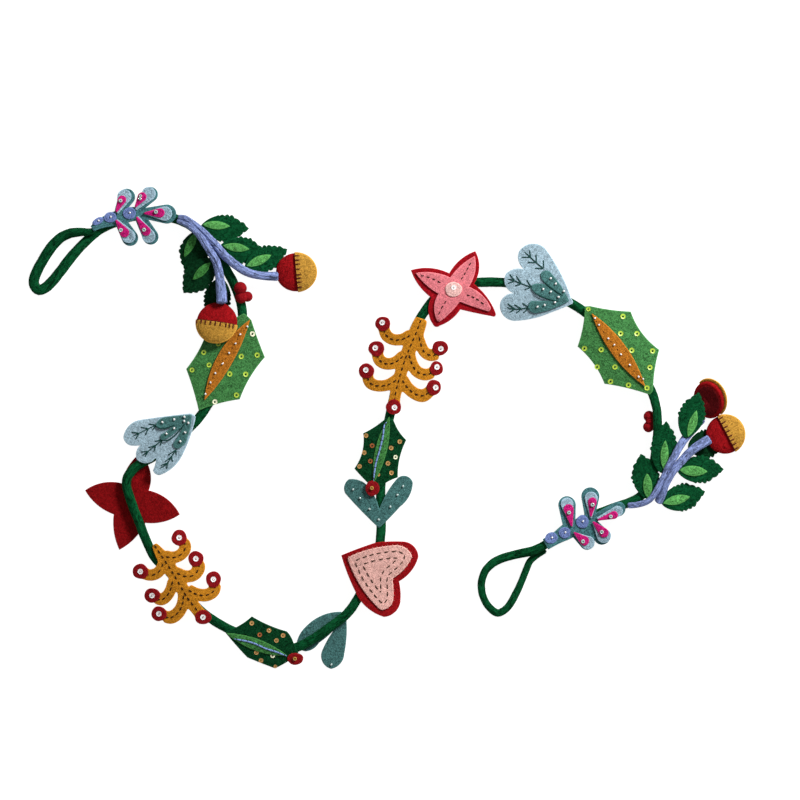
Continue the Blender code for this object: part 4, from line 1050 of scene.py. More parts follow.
def turned(profile: Table, sides: int, capped: bool = False) -> Shape:
    """Surface of revolution: a profile of radius and height turned round the z axis.

    Args:
        profile: Rows of radius and height, from the bottom round to the top; a ring if its ends meet.
        sides: Segments around.
        capped: Whether fans of triangles close its first and last rings.

    Returns:
        The shape.
    """
    rows = np.asarray(profile, float)
    spans = len(rows) - 1
    if np.allclose(rows[0], rows[-1]):
        rows = rows[:-1]
    angle = np.linspace(0.0, math.tau, sides, endpoint=False)
    r, z = rows[:, :1], rows[:, 1:2]
    points = np.stack((r * np.cos(angle), r * np.sin(angle), z + 0.0 * angle), axis=-1).reshape(-1, 3)
    i, j = np.mgrid[0:spans, 0:sides]
    k, after = (j + 1) % sides, (i + 1) % len(rows)
    quads = np.stack((i * sides + j, i * sides + k, after * sides + k, after * sides + j), axis=-1)
    shape = Shape(points, quads=quads.reshape(-1, 4))
    if capped:
        fan, last = np.arange(1, sides - 1), len(points) - sides
        shape.triangles = np.concatenate((np.column_stack((0 * fan, fan + 1, fan)),
                                          np.column_stack((0 * fan + last, last + fan, last + fan + 1))))
    return shape


def ball(radius: float, sides: int, rings: int) -> Shape:
    """A sphere by latitude and longitude, its poles closed by tiny rings.

    Args:
        radius: The radius.
        sides: Segments around.
        rings: Segments from pole to pole.

    Returns:
        The shape.
    """
    lean = np.linspace(-math.pi / 2.0 + 0.02, math.pi / 2.0 - 0.02, rings + 1)
    return turned(np.column_stack((radius * np.cos(lean), radius * np.sin(lean))), sides, True)


def tubes(paths: Array, radii: Array, sides: int) -> Shape:
    """Round tubes along paths, all with the same number of points, closed by flat ends.

    A ring's corners are the path's point plus the radius times (cos a, sin a) in the plane across it.

    Args:
        paths: Points of each path, an array of paths by points by three.
        radii: Radius at each point of each path.
        sides: Corners around.

    Returns:
        All tubes in one shape.
    """
    count, length = paths.shape[:2]
    ahead = np.gradient(paths, axis=1)
    ahead /= np.maximum(np.linalg.norm(ahead, axis=-1, keepdims=True), 1e-9)
    across = np.cross(ahead, (0.0, 0.0, 1.0))
    across /= np.maximum(np.linalg.norm(across, axis=-1, keepdims=True), 1e-9)
    up = np.cross(across, ahead)
    angle = np.linspace(0.0, math.tau, sides, endpoint=False)[:, None]
    ring = across[:, :, None] * np.cos(angle) + up[:, :, None] * np.sin(angle)
    r = radii[..., None, None] if radii.ndim == 2 else radii[..., None]
    points = (paths[:, :, None] + ring * r).reshape(-1, 3)
    steps = np.linalg.norm(np.diff(paths, axis=1), axis=-1)
    run = np.concatenate((np.zeros((count, 1)), np.cumsum(steps, axis=1)), axis=1)
    mean = radii.reshape(count, length, -1).mean(axis=-1)
    turn = np.abs(np.linspace(-1.0, 1.0, sides, endpoint=False))
    around = math.pi * mean[..., None] * turn
    uv = np.stack(np.broadcast_arrays(run[..., None], around), axis=-1).reshape(-1, 2) * MM
    n, i, j = np.mgrid[0:count, 0:length - 1, 0:sides]
    k = (j + 1) % sides
    base = (n * length + i) * sides
    quads = np.stack((base + j, base + k, base + sides + k, base + sides + j), axis=-1).reshape(-1, 4)
    fan = np.arange(1, sides - 1)
    heads = (np.arange(count) * length * sides)[:, None]
    tails = heads + (length - 1) * sides
    head = np.stack(np.broadcast_arrays(heads, heads + fan, heads + fan + 1), axis=-1).reshape(-1, 3)
    tail = np.stack(np.broadcast_arrays(tails, tails + fan + 1, tails + fan), axis=-1).reshape(-1, 3)
    return Shape(points, np.concatenate((head, tail)), quads[:, ::-1], uv)


def hairs(shape: Shape, seed: int) -> Shape:
    """Stray curly wool fibres over the upward faces of a felted piece, as thin three-sided tubes.

    At a share t of its length a fibre is at length (t - 0.5) along a random heading on the face, at
    curl sin(2 pi t) to the side of it and at height sin(pi t) over it.

    Args:
        shape: The piece.
        seed: Start of its random numbers.

    Returns:
        The fibres.
    """
    faces = np.concatenate((shape.triangles, shape.quads[:, :3], shape.quads[:, [0, 2, 3]]))
    corner = shape.points[faces]
    normal = np.cross(corner[:, 1] - corner[:, 0], corner[:, 2] - corner[:, 0])
    area = np.linalg.norm(normal, axis=1) / 2.0
    seen = (normal[:, 2] > 0.2 * area) & (area > 1e-6)
    corner, area, normal = corner[seen], area[seen], normal[seen] / (2.0 * area[seen])[:, None]
    source = np.random.default_rng(seed)
    count = max(1, int(HAIRS_IN_SQUARE_CM * area.sum() / 100.0))
    face = source.choice(len(area), count, p=area / area.sum())
    a, b = np.sqrt(source.random((count, 1))), source.random((count, 1))
    root = corner[face, 0] * (1.0 - a) + corner[face, 1] * (a * (1.0 - b)) + corner[face, 2] * (a * b)
    up = normal[face]
    aim = np.cross(up, source.normal(size=(count, 3)))
    aim /= np.maximum(np.linalg.norm(aim, axis=1, keepdims=True), 1e-9)
    t = np.linspace(0.0, 1.0, HAIR_POINTS)[None, :, None]
    spans = (HAIR_LENGTH, HAIR_CURL, HAIR_HEIGHT)
    length, curl, height = (source.uniform(*span, (count, 1, 1)) for span in spans)
    along, aside = length * (t - 0.5), curl * np.sin(math.tau * t)
    rise = height * np.sin(math.pi * t) - 0.05
    paths = root[:, None] + aim[:, None] * along + np.cross(up, aim)[:, None] * aside + up[:, None] * rise
    radii = HAIR_RADIUS * (0.45 + 0.55 * np.sin(math.pi * t[..., 0]))
    radii = np.broadcast_to(radii, (count, HAIR_POINTS))
    fibres = tubes(paths, radii, 3)
    # Distance zero gives the fibres the lighter tone of a cut edge, its painted highlight included.
    fibres.edge = np.zeros(len(fibres.points))
    return fibres


def add(name: str, shape: Shape, finish: Finish, nodes: Sequence[str] = (),
        flat_faces: bool = False) -> Piece:
    """Add a piece to the scene, riding on the garland.

    Args:
        name: Its name.
        shape: Its mesh, in frame millimetres.
        finish: Its finish.
        nodes: Solids that it stands for.
        flat_faces: Whether its faces stay flat, as a faceted sequin's do.

    Returns:
        The piece.
    """
    if finish.surface in (Surface.FELT, Surface.ROLL):
        shape = Shape.together((shape, hairs(shape, len(shape.points))))
    mesh = bpy.data.meshes.new(name)
    mesh.vertices.add(len(shape.points))
    mesh.vertices.foreach_set("co", (shape.points * MM).astype(np.float32).ravel())
    corners = np.concatenate((shape.triangles.ravel(), shape.quads.ravel()))
    totals = np.concatenate((np.full(len(shape.triangles), 3), np.full(len(shape.quads), 4)))
    mesh.loops.add(len(corners))
    mesh.loops.foreach_set("vertex_index", corners.astype(np.int32))
    mesh.polygons.add(len(totals))
    mesh.polygons.foreach_set("loop_start", (np.cumsum(totals) - totals).astype(np.int32))
    mesh.polygons.foreach_set("loop_total", totals.astype(np.int32))
    mesh.polygons.foreach_set("use_smooth", np.full(len(totals), not flat_faces))
    mesh.update(calc_edges=True)
    layout = shape.layout()[corners].astype(np.float32)
    mesh.uv_layers.new(name="UVMap").data.foreach_set("uv", layout.ravel())
    depth = mesh.attributes.new("edge", "FLOAT", "POINT")
    depth.data.foreach_set("value", shape.depth().astype(np.float32))
    mesh.materials.append(material(finish))
    piece = bpy.data.objects.new(name, mesh)
    bpy.context.scene.collection.objects.link(piece)
    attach(piece, BODY)
    if nodes:
        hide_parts(*nodes)
    LOG.info("%s: %d points, %d faces", name, len(shape.points), len(totals))
    return piece


@dataclass
class Sheet:
    """One felt cut-out.

    Attributes:
        name: Its name, and that of the solid that it stands for, if there is one.
        outline: Its outline, running anticlockwise.
        height: Height of its middle layer over its seat.
        thickness: Thickness of the felt.
        finish: Its finish.
        seat: Height that is added to put it where its solid is.
        lift: Height of its crown, for a cut-out that is sewn down all round.
    """

    name: str
    outline: Array
    height: HeightField
    thickness: float
    finish: Finish
    seat: float = 0.0
    lift: float = 0.0

    def seated(self) -> "Sheet":
        """Put the sheet at the height of its solid.

        Returns:
            The sheet itself.
        """
        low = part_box(self.name)[0][2] / MM
        self.seat = low + self.thickness / 2.0 - float(self.height(self.outline).min())
        return self

    def top(self, xy: Array) -> Array:
        """Heights of the upper side at places, away from the edge."""
        return self.middle(xy) + self.thickness / 2.0

    def middle(self, xy: Array) -> Array:
        """Heights of the middle layer at places, with the felt's unevenness."""
        return self.seat + self.height(xy) + lumps(xy, LUMP_LENGTH, LUMP, float(self.outline[0, 0]))

    def shape(self) -> Shape:
        """The sheet's closed mesh.

        Both sides are the height over the filled outline, half the thickness up and down, drawn in at the
        edge by a quarter ellipse of the distance from it.

        Returns:
            The shape.
        """
        places, triangles, distance = filled(self.outline, PITCH)
        share = np.minimum(distance / EDGE_ROUND, 1.0)
        half = 0.5 * self.thickness * (0.55 + 0.45 * np.sqrt(1.0 - (1.0 - share) ** 2))
        crown = self.lift * (1.0 - np.exp(-distance / CROWN_REACH))
        middle = self.middle(places)
        upper = np.column_stack((places, middle + half + crown))
        lower = np.column_stack((places, middle - half))
        rim = borders(triangles)
        count = len(places)
        walls = np.column_stack((rim[:, 0] + count, rim[:, 1] + count, rim[:, 1], rim[:, 0]))
        both = np.concatenate((triangles, triangles[:, ::-1] + count))
        return Shape(np.concatenate((upper, lower)), both, walls, edge=np.concatenate((distance, distance)))

    def raised(self, height: float) -> "Sheet":
        """The same sheet, higher, for what is sewn on a piece that lies on it."""
        return replace(self, seat=self.seat + height)

    def made(self, rests_on: Sequence[str] = (), extras: Sequence[Piece] = ()) -> Piece:
        """Build the sheet as a piece that stands for its solid.

        Args:
            rests_on: Names of what it lies on; not used.
            extras: Pieces that are sewn on it; not used.

        Returns:
            The piece.
        """
        piece = add(self.name + "_cut", self.shape(), self.finish, (self.name,))
        return piece


def trim(name: str, outlines: Sequence[Array], base: Sheet, finish: Finish) -> Piece:
    """Small cut-outs sewn on a sheet, as one piece.

    Args:
        name: Name of the piece.
        outlines: One outline for each cut-out.
        base: Sheet that they are sewn on.
        finish: Their finish.

    Returns:
        The piece.
    """
    shapes = [Sheet(name, loop, lambda xy: base.top(xy) + TRIM_FELT / 2.0 + TRIM_AIR, TRIM_FELT, finish,
                    0.0, TRIM_CROWN).shape() for loop in outlines]
    return add(name, Shape.together(shapes), finish)


def axes(base: Sheet, xy: Array) -> tuple[Array, Array, Array, Array]:
    """Places on a sheet's upper side and the axes of the sheet there.

    Args:
        base: The sheet.
        xy: Places, one row each.

    Returns:
        The places in space, and the unit vectors to the side, ahead and up.
    """
    reach = SLOPE_REACH
    slope_x = (base.top(xy + (reach, 0.0)) - base.top(xy - (reach, 0.0))) / (2.0 * reach)
    slope_y = (base.top(xy + (0.0, reach)) - base.top(xy - (0.0, reach))) / (2.0 * reach)
    up = np.column_stack((-slope_x, -slope_y, np.ones(len(xy))))
    up /= np.linalg.norm(up, axis=1, keepdims=True)
    side = np.column_stack((np.ones(len(xy)), np.zeros(len(xy)), slope_x))
    side /= np.linalg.norm(side, axis=1, keepdims=True)
    return np.column_stack((xy, base.top(xy))), side, np.cross(up, side), up


def beads(name: str, base: Sheet, rows: Table, finish: Finish, upright: bool = False) -> Piece:
    """Glass beads sewn on a sheet: short rings with round sides.

    Args:
        name: Name of the piece.
        base: Sheet that they are on.
        rows: Rows of x, y and diameter.
        finish: Their finish.
        upright: Whether their holes face up, or else along the sheet.

    Returns:
        The piece.
    """
    around = np.linspace(-math.pi, math.pi, 11)
    radius = BEAD_RING + BEAD_HALF_WALL * np.cos(around)
    profile = np.column_stack((radius, BEAD_HALF_HEIGHT * np.sin(around)))
    places, side, ahead, up = axes(base, world(rows))
    size = np.asarray(rows, float)[:, 2]
    if upright:
        middle = places + up * (UPRIGHT_SEAT * size)[:, None]
        return add(name, turned(profile, 14).copies(middle, side, ahead, up, size), finish)
    lean = (np.asarray(rows, float)[:, 0] * 0.7)[:, None]
    heading = side * np.cos(lean) + ahead * np.sin(lean)
    middle = places + up * (BEAD_SEAT * size)[:, None]
    return add(name, turned(profile, 12).copies(middle, up, np.cross(heading, up), heading, size), finish)


def sequins(name: str, base: Sheet, rows: Table, finish: Finish) -> Piece:
    """Cup sequins sewn on a sheet: faceted rings that rise to their rims.

    Args:
        name: Name of the piece.
        base: Sheet that they are on.
        rows: Rows of x, y and radius.
        finish: Their finish.

    Returns:
        The piece.
    """
    profile = ((0.4, 0.04), (0.55, 0.04), (1.0, 0.14), (1.0, 0.2), (0.55, 0.11), (0.4, 0.11), (0.4, 0.04))
    places, side, ahead, up = axes(base, world(rows))
    size = np.asarray(rows, float)[:, 2]
    shape = turned(profile, 10).copies(places, side, ahead, up, SEQUIN_SIZE * size)
    return add(name, shape, finish, flat_faces=True)


def stitch_shape(top: HeightField, start: Array, end: Array, radius: float) -> Shape:
    """Shape of straight stitches between places.

    Args:
        top: Height of the surface that they lie on.
        start: First end of each stitch.
        end: Second end of each stitch.
        radius: Radius of the thread.

    Returns:
        All stitches in one shape.
    """
    t = np.linspace(0.0, 1.0, 7)[None, :, None]
    line = start[:, None] * (1.0 - t) + end[:, None] * t
    arch = np.sin(math.pi * t[..., 0]) ** 0.6
    height = top(line.reshape(-1, 2)).reshape(line.shape[:2]) + radius * (1.5 * arch - 0.7)
    paths = np.concatenate((line, height[..., None]), axis=-1)
    radii = np.broadcast_to(radius * (0.6 + 0.4 * arch), paths.shape[:2])
    return tubes(paths, radii, 6)


def running(line: Array, dash: float, gap: float, closed: bool = False) -> tuple[Array, Array]:
    """Ends of running stitches along a line.

    Args:
        line: Points of the line, close together.
        dash: Length of a stitch.
        gap: Length between two stitches.
        closed: Whether the line's last point runs on to its first.

    Returns:
        The first end and the second end of each stitch.
    """
    if closed:
        line = np.concatenate((line, line[:1]))
    run = travel(line)
    count = max(1, round(run[-1] / (dash + gap)))
    first = (np.arange(count) + 0.5) * run[-1] / count - dash / 2.0
    first = first + 0.08 * gap * np.sin(5.0 * np.arange(count))
    return read(line, run, first), read(line, run, first + dash)


def sewn(top: HeightField, lines: Sequence[Table], dashes: tuple[float, float], radius: float) -> Shape:
    """Running stitches along smooth lines.

    Args:
        top: Height of the surface that they lie on.
        lines: Points of each line on the layout sheet.
        dashes: Length of a stitch and of the gap after it.
        radius: Radius of the thread.

    Returns:
        All stitches in one shape.
    """
    return Shape.together([stitch_shape(top, *running(world(smooth(line, STITCH_STEP)), *dashes), radius)
                           for line in lines])


def drawn(name: str, base: Sheet, lines: Sequence[Table], finish: Finish, radius: float) -> Piece:
    """Thread or yarn laid along lines on a sheet.

    Args:
        name: Name of the piece.
        base: Sheet that it lies on.
        lines: Points of each line on the layout sheet.
        finish: Its finish.
        radius: Its radius.

    Returns:
        The piece.
    """
    shapes = []
    for line in lines:
        flat = world(smooth(line, THREAD_STEP))
        t = np.linspace(0.0, 1.0, len(flat))
        ends = np.minimum(1.0, 6.0 * np.minimum(t, 1.0 - t) + 0.35)
        path = np.column_stack((flat, base.top(flat) + radius * (1.4 * ends - 0.7)))
        shapes.append(tubes(path[None], (radius * ends)[None], 8))
    return add(name, Shape.together(shapes), finish)


@dataclass
class Cord:
    """A felted rope or a rolled felt stem.

    Attributes:
        name: Name of the solid that it stands for.
        rows: Rows of x, y, height and radius along it.
        finish: Its finish.
        sides: Corners around.
        step: Distance between its rings.
        rolled: Whether it is a roll with a seam along it.
    """

    name: str
    rows: Table
    finish: Finish
    sides: int
    step: float
    rolled: bool

    def made(self, stiffness: str) -> Piece:
        """Build the cord.

        The radius varies along and around it by crossing sine waves, and a roll has a shallow groove
        that wanders along its upper side.

        Args:
            stiffness: How stiff it is; not used.

        Returns:
            The piece.
        """
        line = smooth(self.rows, self.step)
        path = np.column_stack((world(line), line[:, 2]))
        radius = line[:, 3] * (1.02 if self.rolled else 1.0)
        path[:, 2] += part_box(self.name)[0][2] / MM - float((path[:, 2] - radius).min())
        run = travel(path)[:, None]
        angle = np.linspace(0.0, math.tau, self.sides, endpoint=False)[None]
        seed = float(line[0, 0])
        uneven = 0.014 * np.sin(0.21 * run + 2.0 * angle + seed) + 0.012 * np.sin(0.53 * run - 3.0 * angle)
        uneven = uneven + 0.012 * np.sin(0.083 * run + angle) + 0.006 * np.sin(1.7 * run + 5.0 * angle)
        if self.rolled:
            groove = math.pi / 2.0 + 0.45 * np.sin(run / 14.0 + seed)
            off = (angle - groove + math.pi) % math.tau - math.pi
            uneven = uneven - 0.2 * np.exp(-(off / 0.16) ** 2) + 0.04 * np.exp(-((off - 0.5) / 0.3) ** 2)
        to_end = np.maximum(0.0, np.minimum(run, run[-1] - run) / 1.2)
        ends = np.minimum(1.0, np.sqrt(to_end) * 0.35 + 0.65)
        radii = radius[:, None] * (1.0 + uneven) * ends
        shape = tubes(path[None], radii[None], self.sides)
        piece = add(self.name + "_felted", shape, self.finish, (self.name,))
        return piece


@dataclass
class Bud:
    """A stuffed red bud with a yellow half cap.

    Attributes:
        name: Name of the pad's solid.
        x: Middle on the layout sheet.
        y: Middle on the layout sheet.
        rx: Radius across.
        ry: Radius up.
        seam: Ends of the cap's straight seam; the cap runs anticlockwise from the first.
        shares: Where along the seam its stitches are, none where they don't show.
        tilt: Lean in degrees.
        heading: Direction of the side that the lean lifts or lowers, in degrees.
        face_down: Whether the bud lies on its face.
    """

    name: str
    x: float
    y: float
    rx: float
    ry: float
    seam: Table
    shares: Row
    tilt: float = 0.0
    heading: float = 0.0
    face_down: bool = False

    def crown(self, xy: Array) -> Array:
        """Height of the upper side of the pad in its own axes.

        Args:
            xy: Places from the bud's middle.

        Returns:
            One height for each place.
        """
        share = np.hypot(xy[:, 0] / (self.rx - CAP_OVERHANG), xy[:, 1] / (self.ry - CAP_OVERHANG))
        inner = np.minimum(share, CROWN_EDGE)
        height = BUD_EQUATOR + (BUD_HEIGHT - BUD_EQUATOR) * np.sqrt(1.0 - inner ** 2)
        return height - (TURNED_SLOPE if self.face_down else SIDE_SLOPE) * (share - inner)

    def posed(self, points: Array) -> Array:
        """Points of the bud's own axes, leaned or turned over, before it is lowered to its place.

        Args:
            points: Points in the bud's axes.

        Returns:
            The points in frame millimetres.
        """
        heading, tilt = math.radians(self.heading), math.radians(self.tilt)
        across = np.array((-math.sin(heading), math.cos(heading), 0.0))
        turn = math.pi - tilt
        if not self.face_down:
            across, turn = -across, tilt
        c, s = math.cos(turn), math.sin(turn)
        spun = points * c + np.cross(across, points) * s + np.outer(points @ across, across) * (1.0 - c)
        return spun + np.append(place(self.x, self.y), 0.0)

    def laid(self, shape: Shape, drop: float) -> Shape:
        """Move a shape from the bud's axes to its place, raised by the drop."""
        shape.points = self.posed(shape.points) + (0.0, 0.0, drop)
        return shape

    def pressed(self, profile: Table, capped: bool) -> Shape:
        """Turn a profile and press it to the oval.

        Args:
            profile: Rows of height, and of radius as a share of the bud's.
            capped: Whether its ends are closed.

        Returns:
            The shape in the bud's axes.
        """
        radius = self.rx - CAP_OVERHANG
        shape = turned(np.asarray(profile) * (radius, 1.0), BUD_SIDES, capped)
        shape.points[:, 1] *= (self.ry - CAP_OVERHANG) / radius
        return shape

    def pad(self) -> Shape:
        """The stuffed pad, a turned profile with a flat underside, a rounded rim and a crown.

        Returns:
            The shape in the bud's axes.
        """
        lean = np.linspace(0.0, math.pi / 2.0, 22)
        upper = np.column_stack((np.cos(lean), BUD_EQUATOR + (BUD_HEIGHT - BUD_EQUATOR) * np.sin(lean)))
        heel = np.linspace(-math.pi / 2.0, 0.0, 7)[:-1]
        under = np.column_stack((0.9 + 0.1 * np.cos(heel), BUD_EQUATOR + BUD_EQUATOR * np.sin(heel)))
        base = np.column_stack((np.linspace(0.02, 0.86, 12), np.zeros(12)))
        profile = np.concatenate((base, under, upper))
        profile[-1, 0] = 0.02
        shape = self.pressed(profile, True)
        across = np.hypot(shape.points[:, 0], shape.points[:, 1]) / (self.rx - CAP_OVERHANG)
        uneven = lumps(shape.points[:, :2], BUD_LUMP_LENGTH, BUD_LUMP, self.x) * (1.0 - across ** 4)
        shape.points[:, 2] += uneven * (shape.points[:, 2] > 0.5)
        return shape

    def made(self) -> None:
        """Build the pad, the half cap, the stitches along its seam and, face down, a felt back whose darker
        red is painted shade.
        """
        pad = self.laid(self.pad(), 0.0)
        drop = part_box(self.name)[0][2] / MM - pad.points[:, 2].min()
        pad.points[:, 2] += drop
        piece = add(self.name + "_pad", pad, BUD_RED, (self.name,))
        if self.face_down:
            back = ((0.0002, -0.3), (0.74, -0.3), (0.8, -0.12), (0.82, 0.1), (0.0002, 0.1), (0.0002, -0.3))
            add(self.name + "_backing", self.laid(self.pressed(back, False), drop), BUD_BACK_PAINTED_SHADE)
        start, end = world(self.seam) - place(self.x, self.y)
        first, last = (math.atan2(spot[1] / self.ry, spot[0] / self.rx) for spot in (start, end))
        share = np.linspace(0.0, 1.0, CAP_STEPS)
        angle = first + share * ((last - first) % math.tau)
        wide = TURNED_REACH * np.sin(share * math.pi) ** 0.5 if self.face_down else 0.0
        rim = np.column_stack(((self.rx + wide) * np.cos(angle), (self.ry + wide) * np.sin(angle)))
        loop = np.concatenate((rim, arc(rim[-1], rim[0], 0.0, OUTLINE_STEP)[1:]))
        cap = Sheet(self.name + "_cap", loop, lambda xy: self.crown(xy) + CAP_AIR + THIN_FELT / 2.0,
                    THIN_FELT, BUD_YELLOW)
        cover = add(cap.name + "_cut", self.laid(cap.shape(), drop), BUD_YELLOW, (cap.name,))
        self.stitches(cap, start, end, drop)

    def stitches(self, cap: Sheet, start: Array, end: Array, drop: float) -> list[Piece]:
        """Stitches across the seam and a thread along it.

        Args:
            cap: The cap, in the bud's axes.
            start: First end of the seam.
            end: Second end of the seam.
            drop: How far the bud is raised to its place.

        Returns:
            The pieces, none where no stitch shows.
        """
        if not self.shares:
            return []
        along = (end - start) / np.hypot(*(end - start))
        reach = np.array((along[1], -along[0])) * SEAM_REACH
        roots = start + (end - start) * np.array(self.shares)[:, None]
        line = start + (end - start) * np.linspace(0.02, 0.98, 12)[:, None]
        whole = Shape.together((stitch_shape(cap.top, roots - reach * 0.1, roots + reach, STITCH),
                                stitch_shape(cap.top, line[:-1], line[1:], FINE_STITCH)))
        return [add(self.name + "_stitches", self.laid(whole, drop), SEAM_THREAD)]


def berries(name: str, balls: Table, finish: Finish) -> None:
    """Felt balls pressed together, lumpy as hand-rolled wool.

    Args:
        name: Name of the solid that they stand for.
        balls: Rows of x, y, height and radius.
        finish: Their finish.
    """
    shapes = []
    for x, y, z, radius in balls:
        one = ball(radius, 40, 26)
        bumpy = 1.0 + 0.02 * np.sin(0.9 * one.points + x).sum(axis=1) / 3.0
        one.points = one.points * bumpy[:, None] + np.append(place(x, y), z)
        shapes.append(one)
    whole = Shape.together(shapes)
    whole.points[:, 2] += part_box(name)[0][2] / MM - whole.points[:, 2].min()
    add(name + "_balls", whole, finish, (name,))


def make_camera() -> None:
    """Look straight down on the garland through a long lens, on the middle of the photo's frame."""
    data = bpy.data.cameras.new("camera")
    data.sensor_width = SENSOR
    data.lens = LENS
    distance = PICTURE_WIDTH * LENS / SENSOR
    camera = bpy.data.objects.new("camera", data)
    middle = place(*PICTURE_MIDDLE) * MM
    camera.location = (middle[0], middle[1], distance + HALF_WAY_UP)
    data.clip_end = 50.0
    bpy.context.scene.collection.objects.link(camera)
    bpy.context.scene.camera = camera


def make_studio() -> None:
    """A plain white floor, a broad soft light from the upper right and even light from all round."""
    floor = bpy.data.meshes.new("floor")
    corners = [(FLOOR_HALF * x, FLOOR_HALF * y, 0.0) for x, y in ((-1, -1), (1, -1), (1, 1), (-1, 1))]
    floor.from_pydata(corners, [], [(0, 1, 2, 3)])
    floor.materials.append(material(WHITE_FLOOR))
    ground = bpy.data.objects.new("floor", floor)
    ground.location = (0.0, 0.0, FLOOR_HEIGHT)
    bpy.context.scene.collection.objects.link(ground)
    for name, spot, size, power in (
            ("key", (1.6, 1.7, 1.8), 0.7, 110.0),
            ("fill", (-1.2, -0.9, 2.4), 2.0, 4.0)):
        light = bpy.data.lights.new(name, "AREA")
        light.size = size
        light.energy = power
        lamp = bpy.data.objects.new(name, light)
        lamp.location = spot
        lamp.rotation_euler = (-Vector(spot)).to_track_quat("-Z", "Y").to_euler()
        bpy.context.scene.collection.objects.link(lamp)
    sky = bpy.data.worlds.new("studio")
    sky.use_nodes = True
    background = sky.node_tree.nodes["Background"].inputs
    background["Color"].default_value = WHITE
    background["Strength"].default_value = SKY_LIGHT
    bpy.context.scene.world = sky
    bpy.context.scene.view_settings.view_transform = "Standard"


def sewn_sequins(name: str, base: Sheet, rows: Table, finish: Finish, centre: Finish) -> list[Piece]:
    """Sequins, each held by a small bead or knot.

    Args:
        name: Name that the pieces' names start with.
        base: Sheet that they are on.
        rows: Rows of x, y and radius.
        finish: Finish of the sequins.
        centre: Finish of the beads or knots.

    Returns:
        The pieces, none where there are no rows.
    """
    if not rows:
        return []
    return [sequins(name + "_sequins", base, rows, finish),
            beads(name + "_sequin_beads", base, [(x, y, 0.5 * r) for x, y, r in rows], centre)]


@dataclass
class Sprig:
    """A teal sprig of five petals, each with a light blue and a magenta piece and glass beads on it.

    Attributes:
        side: Which end of the garland it is at.
        ridge: Its height.
        stem: Strip of the stem.
        petals: Drops of the five petals.
        tops: Drop of the light blue piece on each petal.
        hearts: Drop of the magenta piece on each petal.
        glass: Rows of x, y and diameter for the beads on each petal.
        discs: Lilac discs along the stem.
    """

    side: str
    ridge: Ridge
    stem: Table
    petals: Table
    tops: Table
    hearts: Table
    glass: Sequence[Table]
    discs: Table

    def made(self) -> None:
        """Build the sprig."""
        rounds = [ellipse(disc) for disc in self.discs]
        outline = joined([strip(self.stem), *map(teardrop, self.petals), *rounds])
        base = Sheet("sprig_" + self.side, outline, self.ridge, FELT, TEAL).seated()
        discs = trim(base.name + "_discs", rounds, base, LILAC_DISC)
        spots = [(x + DISC_PIP[0], y + DISC_PIP[1], DISC_PIP[2]) for x, y, *_ in self.discs]
        pips = beads(base.name + "_pips", base.raised(TRIM_FELT), spots, BEAD_WHITE)
        base.made(["rope"], [discs, pips])
        for k, (top, heart, glass) in enumerate(zip(self.tops, self.hearts, self.glass), 1):
            name = f"petal_{self.side}_{k}"
            petal = Sheet(name, teardrop(top), self.ridge, THIN_FELT, PETAL_BLUE).seated()
            centre = trim(petal.name + "_centre", [teardrop(heart)], petal, MAGENTA)
            drops = beads(petal.name + "_beads", petal.raised(TRIM_FELT), glass, BEAD_GREEN, True)
            petal.made([base.name], [centre, drops])


@dataclass
class Leaf:
    """A dark green serrated leaf, some with a light green vein.

    Attributes:
        name: Name of its solid.
        x0: Place of its base.
        y0: Place of its base.
        x1: Place of its tip.
        y1: Place of its tip.
        width: Its width.
        fall: How steeply its sides fall.
        fold: How far its ridge lies to the left of its midline.
        pitch: How steeply it falls to its tip.
        vein: Lens of its vein.
        deep: Whether it lies in the shade of another; that shade is painted into darker greens of leaf and
            vein.
    """

    name: str
    x0: float
    y0: float
    x1: float
    y1: float
    width: float
    fall: float
    fold: float
    pitch: float
    vein: Row | None
    deep: bool = False

    def made(self) -> None:
        """Build the leaf."""
        length = math.hypot(self.x1 - self.x0, self.y1 - self.y0)
        dx, dy = self.fold * (self.y1 - self.y0) / length, self.fold * (self.x0 - self.x1) / length
        ridge = Ridge(self.x0 + dx, self.y0 + dy, self.x1 + dx, self.y1 + dy, self.fall, self.pitch)
        # Leaves in the shade of others take the darker greens: painted shade.
        green, light = (LEAF_PAINTED_SHADE, VEIN_PAINTED_SHADE) if self.deep else (LEAF_GREEN, VEIN_GREEN)
        outline = serrated(place(self.x0, self.y0), place(self.x1, self.y1), self.width)
        sheet = Sheet(self.name, outline, ridge, FELT, green).seated()
        veins = [trim(self.name + "_vein", [lens(self.vein)], sheet, light)] if self.vein else []
        sheet.made(["rope"], veins)


